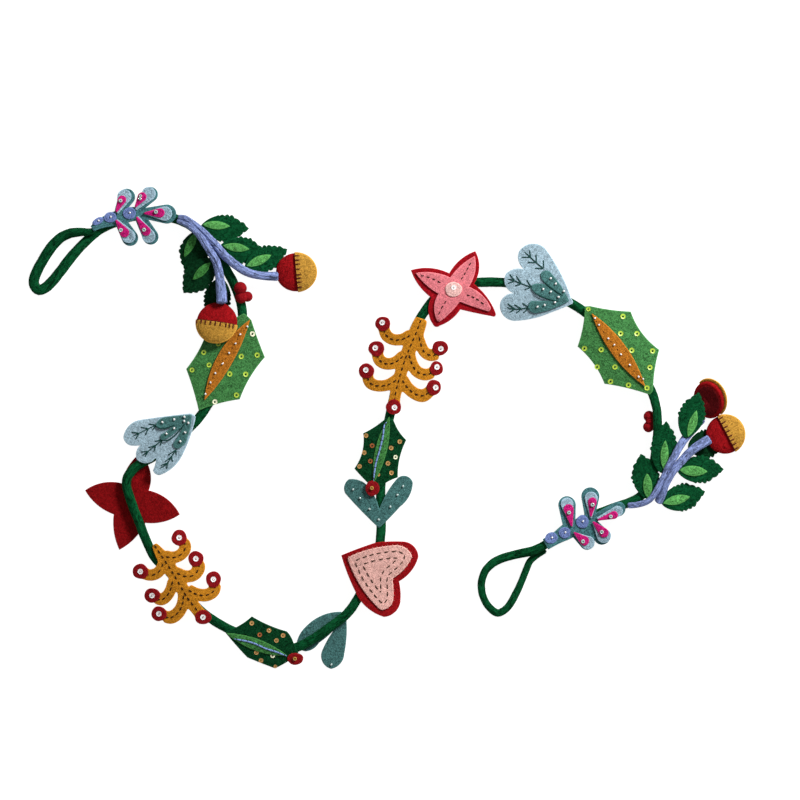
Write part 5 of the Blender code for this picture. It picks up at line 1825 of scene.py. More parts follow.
@dataclass
class Holly:
    """A big pointed leaf with an orange midrib, beads along it and sequins on both sides.

    Attributes:
        name: Name of its solid.
        ridge: Its height.
        rows: Its corners.
        rib: Lens of its midrib.
        drops: Rows of x, y and diameter for the beads on the midrib.
        lime: Rows of x, y and radius for the lime sequins.
        pale: The same for the pale sequins.
    """

    name: str
    ridge: Ridge
    rows: Table
    rib: Row
    drops: Table
    lime: Table
    pale: Table

    def made(self) -> None:
        """Build the leaf."""
        base = Sheet(self.name, arced(self.rows), self.ridge, FELT, HOLLY_GREEN).seated()
        extras = sewn_sequins(self.name, base, self.lime, SEQUIN_LIME, KNOT_PAINTED_SHADE)
        extras += sewn_sequins(self.name + "_pale", base, self.pale, SEQUIN_PALE, KNOT_PAINTED_SHADE)
        base.made(["rope"], extras)
        rib = Sheet(self.name + "_rib", lens(self.rib), self.ridge, THIN_FELT, MIDRIB_ORANGE).seated()
        spots = world(self.drops)
        middle, along = (spots[1:] + spots[:-1]) / 2.0, np.diff(spots, axis=0)
        along *= MARK_HALF / np.hypot(*along.T)[:, None]
        dashes = stitch_shape(rib.top, middle - along, middle + along, MARK_RADIUS)
        marks = add(self.name + "_marks", dashes, MARK_BROWN)
        rib.made([base.name], [beads(self.name + "_beads", rib, self.drops, BEAD_WHITE), marks])


def fern(spine: Table, ends: Table) -> list[Table]:
    """Lines of a stitched fern: its spine, and barbs that leave it toward its tip.

    Args:
        spine: Points of the spine, from its root.
        ends: Outer ends of the barbs, two for each place on the spine.

    Returns:
        Points of each line.
    """
    fine = smooth(spine, FERN_STEP)[:, :2]
    places = np.asarray(ends, float)
    middles = (places[0::2] + places[1::2]) / 2.0
    near = np.hypot(*(middles[:, None] - fine).transpose(2, 0, 1)).argmin(axis=1)
    joints = fine[np.maximum(near - round(BARB_LEAD / FERN_STEP), 0)]
    barbs = [((end[0], end[1]), tuple(joint)) for end, joint in zip(places, np.repeat(joints, 2, axis=0))]
    return [spine, *barbs]


@dataclass
class Lobes:
    """A light blue three-lobed petal with teal fingers, fern embroidery and beads.

    Attributes:
        side: Which of the two it is.
        ridge: Their height.
        rows: Corners of the petal.
        fingers: Corners of the fingers.
        ferns: Spine and barb ends of each fern stitched on the petal.
        edges: Lines of thread along the fingers' edges.
        drops: Rows of x, y and diameter for the beads on the fingers.
    """

    side: str
    ridge: Ridge
    rows: Table
    fingers: Table
    ferns: Sequence[tuple[Table, Table]]
    edges: Sequence[Table]
    drops: Table

    def made(self) -> None:
        """Build the petal."""
        base = Sheet("lobes_" + self.side, arced(self.rows), self.ridge, FELT, LOBE_BLUE).seated()
        lines = [line for spine, ends in self.ferns for line in fern(spine, ends)]
        base.made(["rope"], [drawn(base.name + "_ferns", base, lines, TEAL_THREAD, FERN_RADIUS)])
        top = Sheet("fingers_" + self.side, arced(self.fingers), self.ridge, THIN_FELT, DARK_TEAL).seated()
        drops = beads(top.name + "_beads", top, self.drops, BEAD_WHITE)
        thread = drawn(top.name + "_thread", top, self.edges, TEAL_THREAD, EDGE_THREAD)
        top.made([base.name], [drops, thread])


@dataclass
class Branch:
    """A mustard branch of six curled arms with red discs, sequins and running stitches.

    Attributes:
        name: Name of its solid.
        ridge: Its height.
        lines: Strips of its spine and of each arm.
        discs: Its red discs.
        sequins: Rows of x and y for the sequins on the discs, none where they are in the discs' middles.
    """

    name: str
    ridge: Ridge
    lines: Sequence[Table]
    discs: Table
    sequins: Table

    def made(self) -> None:
        """Build the branch."""
        rounds = [ellipse(disc) for disc in self.discs]
        outline = softened(joined([*map(strip, self.lines), *rounds]), 1.7)
        base = Sheet(self.name, outline, self.ridge, FELT, MUSTARD).seated()
        discs = trim(self.name + "_discs", rounds, base, RED_DISC)
        thread = add(self.name + "_stitches", sewn(base.top, self.lines, BRANCH_DASH, STITCH), DARK_THREAD)
        spots = [(x, y, DISC_SEQUIN) for x, y, *_ in self.sequins or self.discs]
        extras = sewn_sequins(self.name, base.raised(ON_DISC), spots, SEQUIN_WHITE, BEAD_WHITE)
        base.made(["rope"], [discs, thread] + extras)


def couching(top: HeightField, line: Array) -> Shape:
    """Small stitches across a yarn that hold it down.

    Args:
        top: Height of the surface under the yarn.
        line: The yarn's line.

    Returns:
        The stitches.
    """
    start, end = running(line, COUCH_STITCH, COUCH_PITCH - COUCH_STITCH)
    middle, across = (start + end) / 2.0, leftward(end - start) * COUCH_REACH
    return stitch_shape(lambda xy: top(xy) + 1.0, middle - across, middle + across, COUCH_RADIUS)


@dataclass
class SmallHolly:
    """A dark green leaf with a light green vein, couched yarn, gold sequins and a red disc.

    Attributes:
        name: Name of its solid.
        ridge: Its height.
        rows: Its corners.
        vein: Lens of its vein.
        disc: Its disc.
        yarn: Line of the yarn.
        gold: Rows of x, y and radius for the gold sequins.
        orange: The same for the orange sequins.
        pale: The same for the pale sequins.
    """

    name: str
    ridge: Ridge
    rows: Table
    vein: Row
    disc: Row
    yarn: Table
    gold: Table
    orange: Table
    pale: Table

    def made(self) -> None:
        """Build the leaf."""
        outline = joined([arced(self.rows), ellipse(self.disc)])
        base = Sheet(self.name, outline, self.ridge, FELT, SMALL_GREEN).seated()
        extras = [trim(self.name + "_vein", [lens(self.vein)], base, SMALL_VEIN),
                  trim(self.name + "_disc", [ellipse(self.disc)], base, RED_DISC)]
        raised = base.raised(TRIM_FELT)
        extras.append(drawn(self.name + "_yarn", raised, [self.yarn], BLUE_YARN, YARN_RADIUS))
        couched = couching(raised.top, world(smooth(self.yarn, STITCH_STEP)))
        extras.append(add(self.name + "_couching", couched, DARK_THREAD))
        for kind, rows, finish, knot in (("_gold", self.gold, SEQUIN_GOLD, BEAD_GOLD),
                                         ("_orange", self.orange, SEQUIN_ORANGE, KNOT_PAINTED_SHADE),
                                         ("_pale", self.pale, SEQUIN_PALE, KNOT_PAINTED_SHADE)):
            extras += sewn_sequins(self.name + kind, base, rows, finish, knot)
        drop = (self.disc[0] + DISC_DROP[0], self.disc[1] + DISC_DROP[1], DISC_DROP[2])
        extras.append(beads(self.name + "_drop", raised, (drop,), BEAD_GOLD, True))
        base.made(["rope"], extras)


def edge_stitches(name: str, top: Sheet, below: Sheet, finish: Finish) -> Piece:
    """Small stitches over the edge of a cut-out that hold it to the one below.

    Args:
        name: Name of the piece.
        top: The cut-out on top.
        below: The one below.
        finish: Finish of the thread.

    Returns:
        The piece.
    """
    start, end = running(top.outline, WHIP_STITCH, WHIP_PITCH - WHIP_STITCH, True)
    inward, middle = leftward(end - start), (start + end) / 2.0
    within, beyond = middle + inward * WHIP_INWARD, middle - inward * WHIP_OUTWARD
    inner = np.column_stack((within, top.top(within) - 0.1))
    over = np.column_stack((middle - inward * 0.1, top.top(middle) + 0.2))
    outer = np.column_stack((beyond, below.top(beyond) - 0.2))
    t = np.linspace(0.0, 1.0, 7)[None, :, None]
    paths = (1 - t) ** 2 * inner[:, None] + 2 * t * (1 - t) * over[:, None] + t ** 2 * outer[:, None]
    return add(name, tubes(paths, np.full(paths.shape[:2], WHIP_RADIUS), 6), finish)


STAR_BACK = (
    (84.7, 490.4, 3.4), (113.4, 514.5, 2.6), (119, 550, 3.1), (145, 523, 3.3), (179.5, 514.6, 4.5),
    (148.4, 490.6, 6), (139.4, 453.6, 3.2), (121.4, 483.4, 4.2))
STAR_FRONT = (
    (475.2, 251.2, 3.2), (449.2, 273.4, 3.7), (410.8, 270.2, 2.7), (431.2, 297.8, 4.4), (434.4, 326.4, 1),
    (440, 325.6, 2.2), (460.2, 309.6, 0.2), (494, 316.8, 0.9), (495.6, 313.4, 2.8), (473.6, 284.2, 4.8))
STAR_PINK_TOP = (
    (474.6, 256.4, 2.2), (450.2, 277.8, 2.8), (415.6, 273.2, 1.8), (438.4, 294, 3.8), (437.2, 321, 0.8),
    (441, 320.8, 1), (459.6, 301.8, 0.4), (488.6, 311.6, 0.8), (490.6, 307.6, 3), (468.8, 287, 3.2))
STAR_DISC = (453.5, 289.6, 8.4, 7.4, 0)
STAR_RIDGE = Ridge(431, 297, 478, 283, 0.16)
STAR_LINES = (
    ((460.5, 280.5), (463.3, 276.5), (467.2, 269.5), (471, 262)),
    ((441.5, 283.5), (436, 280.5), (430, 278), (424.7, 276.3), (419.5, 275.5)),
    ((447, 300), (443.3, 305), (440.3, 311), (438, 316)),
    ((465.5, 294.7), (470.5, 296.3), (477, 299.3), (484, 304.5)))
TWIN_LEAF_BACK = (
    (346.4, 620, 0.6), (341, 612, 4), (306, 626.6, 1.2), (297, 641, 3), (305.4, 651.6, 2), (319, 643, 0.4),
    (333, 631.4, 0.6), (322.2, 650.6, 4.8), (331, 669.2, 3.6), (344.2, 654, 1.2))
TWIN_BACK_BEADS = ((331.3, 664.7, 2.5),)
TWIN_LEAF_FRONT = (
    (379, 528, 0.6), (345.4, 493.6, 3), (349, 479.2, 1.6), (365, 483.2, 2), (379.4, 508.6, 1.6),
    (397, 478.6, 4.8), (412.8, 482.6, 3.2), (400, 506.6, 0.4))
TWIN_LEAF_FRONT_RIDGE = Ridge(380.8, 530, 380.8, 480, 0.14)
TWIN_FRONT_BEADS = (
    (353.4, 489.3, 2.5), (360.3, 498, 2.5), (369.7, 508.8, 2.5), (402.9, 486, 2.5), (397.3, 494.8, 2.5),
    (390.3, 506.5, 2.5), (378.8, 519.3, 2.5))
HEART = (
    (341.2, 555.2, 0.5), (376, 542.3, 0.6), (403, 541.4, 4.2), (418.4, 556.6, 3.3), (399, 581.2, 1),
    (400.2, 603, 3.6), (384, 616.8, 2.6), (359, 598.4, 1.2))
HEART_TOP = (
    (347.4, 557.4, 2.4), (393, 545.2, 4.2), (412.2, 556.4, 2.4), (392.4, 578.2, 0.6), (393.2, 600, 3),
    (380.6, 609.6, 4))
HEART_RIDGE = Ridge(380.5, 541, 357, 594, 0.16)


def make_star() -> None:
    """The star flowers: the back of one, and the other with its pink star, disc and stitches."""
    Sheet("star_back", arced(STAR_BACK), level, FELT, STAR_BACK_RED).seated().made()
    base = Sheet("star_front", arced(STAR_FRONT), STAR_RIDGE, FELT, STAR_RED).seated()
    base.made(["rope"])
    pink = Sheet("star_pink", arced(STAR_PINK_TOP), STAR_RIDGE, THIN_FELT, STAR_PINK).seated()
    disc = trim("star_disc", [ellipse(STAR_DISC)], pink, PALE_DISC)
    thread = add("star_stitches", sewn(pink.top, STAR_LINES, STAR_DASH, STAR_STITCH), DARK_THREAD)
    extras = sewn_sequins("star", pink.raised(ON_DISC), ((453.7, 287.7, 2.8),), SEQUIN_WHITE, BEAD_WHITE)
    pink.made([base.name], [disc, thread] + extras)


def make_twin_leaves() -> None:
    """The two teal leaves with two lobes."""
    back = Sheet("twin_leaf_back", arced(TWIN_LEAF_BACK), level, FELT, TWIN_TEAL).seated()
    back.made((), [beads("twin_leaf_back_beads", back, TWIN_BACK_BEADS, BEAD_TEAL)])
    outline = arced(TWIN_LEAF_FRONT)
    front = Sheet("twin_leaf_front", outline, TWIN_LEAF_FRONT_RIDGE, FELT, TWIN_TEAL).seated()
    front.made(["rope"], [beads("twin_leaf_front_beads", front, TWIN_FRONT_BEADS, BEAD_TEAL)])


def make_heart() -> None:
    """The heart: a red base, and a pink top with two rings of running stitches and whip stitches."""
    base = Sheet("heart", arced(HEART), HEART_RIDGE, FELT, HEART_RED).seated()
    base.made(["rope"])
    top = Sheet("heart_top", softened(arced(HEART_TOP), 1.3), HEART_RIDGE, THIN_FELT, HEART_PINK).seated()
    rings = [stitch_shape(top.top, *running(inset(top.outline, depth), *HEART_DASH, True), HEART_STITCH)
             for depth in HEART_RINGS]
    thread = add("heart_stitches", Shape.together(rings), HEART_THREAD)
    whip = edge_stitches("heart_edge_stitches", top, base, PINK_THREAD)
    top.made([base.name], [thread, whip])


ROPE = (
    (97, 230.6, 12.6, 2.7), (89, 232.2, 12.8, 3.6), (79, 232.4, 10.6, 4.5), (69, 233.8, 6.8, 4.9),
    (59.5, 238.6, 5.3, 5.2), (50.5, 248.2, 5.4, 5.3), (41.5, 262.5, 5.4, 5.3), (35.4, 275, 5.4, 5.3),
    (33.9, 283.8, 5.4, 5.3), (39, 290, 5.4, 5.3), (48.2, 285.4, 5.4, 5.3), (59.7, 272.3, 5.4, 5.3),
    (71, 257.4, 5.3, 5.2), (83.3, 243.7, 4.95, 4.9), (97.6, 231.2, 4.75, 4.7), (113, 223.2, 4.75, 4.7),
    (131, 217, 4.75, 4.7), (150, 214.5, 4.75, 4.7), (169, 217, 4.75, 4.7), (187.2, 223.8, 4.75, 4.7),
    (200.5, 234, 4.75, 4.7), (213.5, 250, 4.75, 4.7), (226.7, 270.3, 4.75, 4.7), (236, 289, 4.75, 4.7),
    (242.2, 311, 4.75, 4.7), (240, 338, 4.75, 4.7), (226, 371, 4.75, 4.7), (202.5, 413, 4.75, 4.7),
    (179, 438, 4.75, 4.7), (165, 449.8, 5.4, 4.7), (153, 457, 7.1, 4.7), (134.5, 468, 7.1, 4.7),
    (126.5, 481.5, 6.95, 4.7), (132, 503.5, 6.95, 4.7), (139, 521.5, 7.1, 4.7), (146.5, 541, 6.8, 4.7),
    (155.5, 558.5, 4.75, 4.7), (169, 571.5, 4.75, 4.7), (186, 595, 4.75, 4.7), (203, 612.8, 4.75, 4.7),
    (229, 629.2, 4.75, 4.7), (262, 642, 4.9, 4.7), (291, 648.3, 6.95, 4.7), (312, 639.5, 6.95, 4.7),
    (334, 624, 7.1, 4.7), (348.6, 611.8, 7.1, 4.7), (362, 590.5, 4.75, 4.7), (377, 557, 4.75, 4.7),
    (381, 530, 4.75, 4.7), (380.8, 488, 4.75, 4.7), (384, 447, 4.75, 4.7), (389.6, 417, 4.75, 4.7),
    (399, 375, 4.75, 4.7), (413, 333, 4.75, 4.7), (424.5, 311.5, 4.75, 4.7), (441, 293, 4.75, 4.75),
    (463, 284.5, 4.75, 4.75), (490, 282, 4.8, 4.8), (518, 284.5, 4.75, 4.75), (551, 294.5, 4.75, 4.7),
    (577, 306.7, 4.75, 4.7), (603, 328, 4.75, 4.7), (633, 363, 4.75, 4.7), (650.4, 389, 6, 4.6),
    (655.9, 407, 12, 4.5), (657.1, 421, 13.6, 4.4), (656.9, 434, 10.6, 4.5), (655, 456, 5.2, 4.6),
    (649, 484.5, 4.75, 4.7), (637.5, 498.5, 4.75, 4.7), (612, 508.2, 4.75, 4.6), (588, 518, 4.75, 4.6),
    (568, 529, 5, 4.6), (554, 538, 8, 4.6), (543.6, 545.2, 11.1, 4.4), (532, 550.8, 10, 4.6),
    (519, 553.8, 6.4, 4.5), (502.6, 558.2, 4.4, 4.35), (492.6, 563.3, 4.2, 4.2), (485.4, 570.9, 4.1, 4),
    (481.6, 582.2, 3.9, 3.8), (482.4, 593.9, 3.8, 3.75), (487.8, 605.4, 3.8, 3.75),
    (497.6, 613.1, 3.8, 3.8), (507.4, 607.7, 3.8, 3.8), (514.8, 596.1, 3.8, 3.75), (521, 582.9, 3.7, 3.6),
    (525.5, 571.7, 3.6, 3.5), (530.8, 560.4, 3.5, 3.4), (545.6, 549.6, 3.3, 3.2))
STEMS = {
    "stem_left_1": (
        (178.2, 217.2, 12.3, 2.3), (185, 218.2, 12.4, 2.7), (192, 222.6, 12.6, 3.1),
        (200.8, 229.8, 13.2, 3.4), (210.4, 239.2, 13.4, 3.7), (218.6, 248.2, 13.4, 3.9),
        (222.8, 253.8, 13.2, 4.1), (229.5, 260, 13.2, 4.2), (238, 266.8, 13.6, 4.2),
        (247, 272.2, 13.6, 4.1), (257, 275.2, 13.2, 4.1), (268, 276.4, 12.6, 4.2),
        (278.6, 276.5, 12.3, 4.5)),
    "stem_left_2": (
        (177.4, 220.9, 12.2, 2), (185.4, 224.2, 13.2, 2.4), (192.8, 228.9, 15.2, 2.8),
        (199.3, 234.9, 16.2, 3.2), (205.2, 243.4, 16.4, 3.6), (211.2, 252.6, 16, 3.9),
        (216.6, 262.2, 15.6, 4), (219.4, 273, 15.2, 4.3), (221, 285, 15.4, 4.7), (222.2, 295, 16.6, 5.1),
        (222.5, 303.8, 17.9, 5.3)),
    "stem_right_1": (
        (627.4, 505.4, 12.9, 2.9), (637, 504.4, 14.8, 2.9), (646.8, 501, 17.2, 2.9),
        (652.6, 495.6, 17.4, 3), (656.8, 488.8, 16.8, 3.1), (660.8, 481, 16.6, 3.1), (664.3, 473.5, 17, 3),
        (668.3, 465.2, 18.4, 3.3), (673.7, 456, 18.9, 3.6), (679.3, 445.8, 16.6, 3.9),
        (685.3, 437.4, 13.2, 4), (693.8, 428, 10, 4), (702.4, 418.6, 8, 4)),
    "stem_right_2": (
        (657.6, 502.4, 11, 4.3), (661.6, 494, 14.2, 3.8), (664.6, 485.6, 16.4, 3.4),
        (668.5, 477.7, 16.4, 3.5), (674, 468.9, 16.2, 3.8), (681, 460.8, 15, 4), (688.2, 453.2, 14.2, 4.3),
        (697.3, 446, 13.2, 4.5), (709.3, 438.8, 12.6, 4.8)),
}
SPRIGS = (
    Sprig(
        "left",
        ridge=Ridge(96, 228, 175, 215, 0.2, 0, 5.6),
        stem=((93, 229.2, 3), (102, 223.6, 5), (116, 218.6, 7), (130, 214.6, 7.2), (143, 213.6, 6)),
        petals=(
            (119.5, 212, 4.5, 127, 197, 8.3), (138, 210, 3.4, 150.4, 194.6, 7.7),
            (143, 213.6, 5, 167, 214.3, 9.6), (139.5, 215.5, 5.2, 150.9, 236.9, 7.9),
            (119.5, 219, 5.4, 130.3, 238, 8.1)),
        tops=(
            (118.3, 213.4, 0.8, 124.7, 196.6, 7), (136.4, 209.8, 0.9, 149, 194.1, 7),
            (145.6, 213.6, 0.9, 165.3, 214, 7.2), (138.6, 217.2, 0.9, 149.1, 236.5, 6.7),
            (118, 220.4, 0.9, 129.1, 236.6, 6.8)),
        hearts=(
            (117, 212, 0.9, 122.5, 200, 4.2), (136, 207, 0.9, 142.5, 197, 4.5),
            (145, 213.7, 0.9, 160.5, 213.3, 4.6), (137.5, 218, 0.9, 146.5, 231.4, 4.7),
            (117, 221, 0.9, 125, 232.9, 4.8)),
        glass=(
            ((121, 201.5, 4),),
            ((141, 196.5, 3.4), (140.5, 199.4, 3.2)),
            ((156.5, 212.5, 4.2),),
            ((144.6, 230, 4.2),),
            ((121.5, 230.5, 4.2),)),
        discs=((129.9, 213.5, 6.5, 6, 0), (110.9, 217.7, 6.3, 5.2, 10), (98.8, 221.6, 6.2, 3.2, 30))),
    Sprig(
        "right",
        ridge=Ridge(546, 543.6, 624, 504, 0.2, 0, 6),
        stem=((545, 544, 5.8), (556, 537.8, 6.3), (567, 531.2, 8), (580, 525, 7), (592, 519.6, 5.6)),
        petals=(
            (569, 527, 6, 566.9, 504.8, 8.7), (589.4, 519, 4.4, 590.2, 496.2, 9),
            (596, 517, 4, 617.8, 508.8, 7.4), (590.6, 523.4, 6.4, 601.8, 536.4, 8.3),
            (573.8, 531.8, 4.2, 587, 542.2, 7.6)),
        tops=(
            (571.6, 525.8, 0.9, 566.9, 503.8, 6.3), (590.6, 517.6, 0.9, 590.9, 498, 6.4),
            (597, 518.2, 0.9, 617.2, 511, 5.4), (593, 522.6, 0.9, 603.6, 535.6, 7.2),
            (574, 532.8, 0.9, 587.6, 542.6, 6.8)),
        hearts=(
            (571.3, 525.5, 0.9, 568.3, 509, 5), (590.5, 516, 0.9, 592, 501.5, 4.3),
            (598, 519.5, 0.9, 613.5, 514.8, 4), (593, 522, 0.9, 603.5, 532.5, 4.8),
            (574, 532.5, 0.9, 584, 540.5, 4.8)),
        glass=(
            ((568.6, 512.7, 4.2),),
            ((592.2, 504.7, 4.2),),
            ((610.2, 516.2, 4),),
            ((601.2, 531.5, 4.2),),
            ((582.3, 541, 4.2),)),
        discs=((550.9, 537.6, 6.5, 5.5, 20), (564.3, 532.5, 6, 5.6, 0), (582.1, 521.5, 6.3, 6.6, 0))),
)
LEAVES = (
    Leaf("leaf_left_1", 203, 230, 186.2, 272.8, 30, 0.3, 5, 0.12,
         (197.2, 232, 184.2, 257.4, 4.2, 4.2), True),
    Leaf("leaf_left_2", 213.6, 259.6, 183.6, 293.2, 29.4, 0.25, 4, 0.05,
         (211, 262.6, 193, 280, 4, 4.2), True),
    Leaf("leaf_left_3", 221, 278, 213.4, 320, 27, 0.2, 0, 0.21, None, True),
    Leaf("leaf_left_4", 219, 248.4, 265.5, 251.8, 26.4, 0.2, 0, 0.15, (223, 245.8, 249.4, 249.2, 4.2, 4.2)),
    Leaf("leaf_left_5", 200.4, 228, 248.8, 228.2, 26.8, 0.2, 0, 0.13, (202.6, 224.4, 230, 226.2, 4.2, 4.2)),
    Leaf("leaf_left_6", 245.2, 268.2, 287.4, 249, 25, 0.2, 0, 0.18, (246.6, 266.4, 271.2, 255, 4.4, 4.4)),
    Leaf("leaf_right_1", 650.6, 499.8, 640.4, 453.6, 27.6, 0.3, -6, 0,
         (647.6, 498.8, 646.6, 473.2, 4.6, 4.4)),
    Leaf("leaf_right_2", 661.4, 473.2, 665.6, 421, 26.2, 0.3, 7, -0.06, (663, 469.4, 664.6, 440.2, 4, 4)),
    Leaf("leaf_right_3", 688, 447.8, 726, 439.8, 28, 0.2, 0, 0.1, None, True),
    Leaf("leaf_right_4", 676.7, 469.6, 724, 469.2, 27.4, 0.2, 0, 0.12,
         (678.8, 469.8, 707.4, 471.6, 5.4, 5)),
    Leaf("leaf_right_5", 661.2, 503, 705.6, 491.4, 27, 0.2, 0, 0.15,
         (662.8, 503.2, 690.2, 496.8, 4.6, 4.8)),
    Leaf("leaf_right_6", 683.9, 437.6, 698.2, 392.4, 26, 0.2, 0, 0.05,
         (686.8, 436.8, 695.6, 410.4, 4.6, 3.6)),
)
HOLLIES = (
    Holly(
        "holly_left",
        ridge=Ridge(243, 316, 204, 410, 0.19),
        rows=(
            (244.2, 313.4, 0.3), (251.6, 320.4, -0.4), (264.9, 357.2, -2.4), (239.8, 399.4, -1.6),
            (199, 410.6, -0.8), (186.3, 369, -2.6), (208.5, 326, -1.6)),
        rib=(250.4, 319.6, 204.8, 400.4, 10.4, 5.7),
        drops=(
            (247.7, 326.7, 2.3), (240.5, 334.5, 2.3), (235.8, 343.5, 2.2), (229.4, 353, 2.3),
            (223, 363.8, 2.3), (215.8, 373.2, 2.3), (211, 382.5, 2.2), (206, 394, 2.3)),
        lime=(
            (257.3, 355, 2.9), (241.5, 356.5, 2.9), (230, 374, 2.9), (245.8, 374.3, 2.9), (236.7, 395, 2.9),
            (204, 352.5, 2.7), (192.3, 370, 2.7), (209.5, 365, 2.7), (218.7, 344, 2.7)),
        pale=((252.7, 333.9, 2.9), (215.2, 401.8, 2.8))),
    Holly(
        "holly_right",
        ridge=Ridge(584, 311, 650, 391, 0.19, -0.01),
        rows=(
            (584.6, 306.5, 0), (590, 306.2, -1), (630.6, 311.6, -3.8), (659, 349.8, -1.4),
            (652.6, 390, 0.3), (649.4, 394.8, -1.2), (604.3, 383.8, -3), (577.4, 346.6, -1.6)),
        rib=(591.2, 313.4, 644.6, 386.6, 7.4, 8),
        drops=(
            (594.5, 318.5, 2.3), (598.5, 325, 2.2), (607.7, 338.7, 2.3), (613.7, 345, 2.2),
            (620.5, 354.5, 2.3), (629.3, 365, 2.3), (638, 376.8, 2.3), (642.5, 379, 2.1)),
        lime=(
            (588, 309.3, 2.4), (622.7, 316.5, 2.9), (620.3, 333.7, 2.9), (636.7, 333.8, 2.9),
            (631.3, 350.5, 2.9), (652.2, 351, 2.9), (584.3, 348.5, 2.9), (601, 349.7, 2.9), (597, 367, 2.9),
            (614.7, 367, 2.9), (649.5, 367.5, 2.9), (610.3, 381.5, 2.9), (628.2, 385, 2.9),
            (646.5, 388, 2.9)),
        pale=()),
)
LOBED_PETALS = (
    Lobes(
        "left",
        ridge=Ridge(203, 412, 148, 460, 0.15, -0.02),
        rows=(
            (196, 416.6, 0.6), (190, 413.4, 0.3), (140, 419.8, 3.9), (123.7, 437, 2.8), (134, 445.7, 0.2),
            (140.6, 445.3, 2.4), (137.4, 459.4, 4), (155, 458.9, 0.2), (157, 457.6, -0.4),
            (153.4, 470.4, 1.4), (160, 475, 3.2), (183, 454.5, 1.4)),
        fingers=(
            (192, 414.6, 0.2), (165, 417.2, 1.6), (156, 424.8, 1), (160, 428.6, 1.2), (174, 424.8, -0.8),
            (161.6, 434.4, 1.6), (163, 440.4, 2), (184.4, 423.2, -1), (173.8, 443, 1.8),
            (177.6, 448.5, 2.4), (188, 437, 1)),
        ferns=(
            (
                ((157.5, 424.6), (149, 428.5), (140, 433), (132.4, 436.6)),
                ((148.4, 423.8), (152.6, 430.6), (141, 427.2), (145.6, 435.4), (131.6, 432), (136, 439.4))),
            (
                ((164, 438.4), (155, 446.2), (148, 451.6), (142.2, 456.2)),
                ((155, 441.5), (160.5, 446), (148.5, 447.5), (154.5, 452), (141, 452), (145.5, 456.8))),
            (
                ((178, 447.6), (171.6, 457), (167, 464), (159.8, 468.5)),
                ((168.5, 455), (176.6, 455), (165, 462), (173, 462), (161, 465.6), (166.8, 469)))),
        edges=(
            ((156.5, 426), (160.9, 428.4), (166.4, 428), (171.9, 426.2), (175.4, 425)),
            ((162.5, 440.4), (167.5, 440.4), (173, 437.2), (178.6, 432.2), (181.9, 427.6), (186.3, 423.2))),
        drops=(
            (163, 422.2, 2.5), (174.8, 419.5, 2.5), (174.8, 428.3, 2.5), (167.2, 433.7, 2.5),
            (185, 416.8, 2.5), (184.8, 421, 2.5), (188.9, 422.8, 2.5), (185.5, 432.2, 2.5),
            (180.8, 441, 2.5))),
    Lobes(
        "right",
        ridge=Ridge(503, 282.5, 575, 305, 0.15),
        rows=(
            (571.4, 299.4, 2.4), (545, 248, 6.2), (518.8, 251.5, 3.2), (524.2, 269.4, 2.4),
            (506, 273.4, 5.2), (513.8, 293.4, 2.9), (500, 303, 6.3), (517, 320.8, 1.4), (549, 313.4, 0.2),
            (572.4, 303.8, 0.8)),
        fingers=(
            (569, 301, 1.4), (549, 271.2, 1.6), (540.4, 273.6, 1.2), (544, 282, 0.4), (563, 296.2, 0),
            (545, 284.8, 1.2), (532, 285, 1.6), (533.6, 292.2, 0.8), (553, 300.4, -0.4), (531, 301, 1.4),
            (528.2, 309.6, 1.6), (538, 313, 1.4)),
        ferns=(
            (
                ((544.5, 269.8), (536, 262.5), (530, 257), (524, 251.5)),
                ((534.5, 268.3), (543.5, 260), (527.5, 262.5), (536, 254), (521.5, 257.3), (529.5, 250))),
            (
                ((533, 288), (520.5, 283.5), (512, 280), (506.6, 279.3)),
                ((526.5, 280), (524, 290), (516, 276), (515, 286), (509.5, 274.3), (507.5, 283.6))),
            (
                ((530, 307.6), (520, 309), (512.5, 309), (506.6, 307.5)),
                ((522, 303), (523, 313.3), (514, 304.5), (516, 313.5), (507.5, 303.5), (509.5, 312.5)))),
        edges=(
            ((543, 281.6), (549, 286.6), (556, 291.6), (562.6, 296)),
            ((533.8, 292.6), (540, 296.2), (546.6, 298.8), (553.4, 300.6), (560, 301.2))),
        drops=(
            (550.4, 278.7, 2.5), (555.5, 284, 2.5), (563.5, 291.5, 2.5), (543, 289.5, 2.5),
            (550.5, 292, 2.5), (558.2, 297.2, 2.5), (554.7, 302.5, 2.5), (544.4, 305.1, 2.5),
            (537.2, 306.8, 2.5))),
)
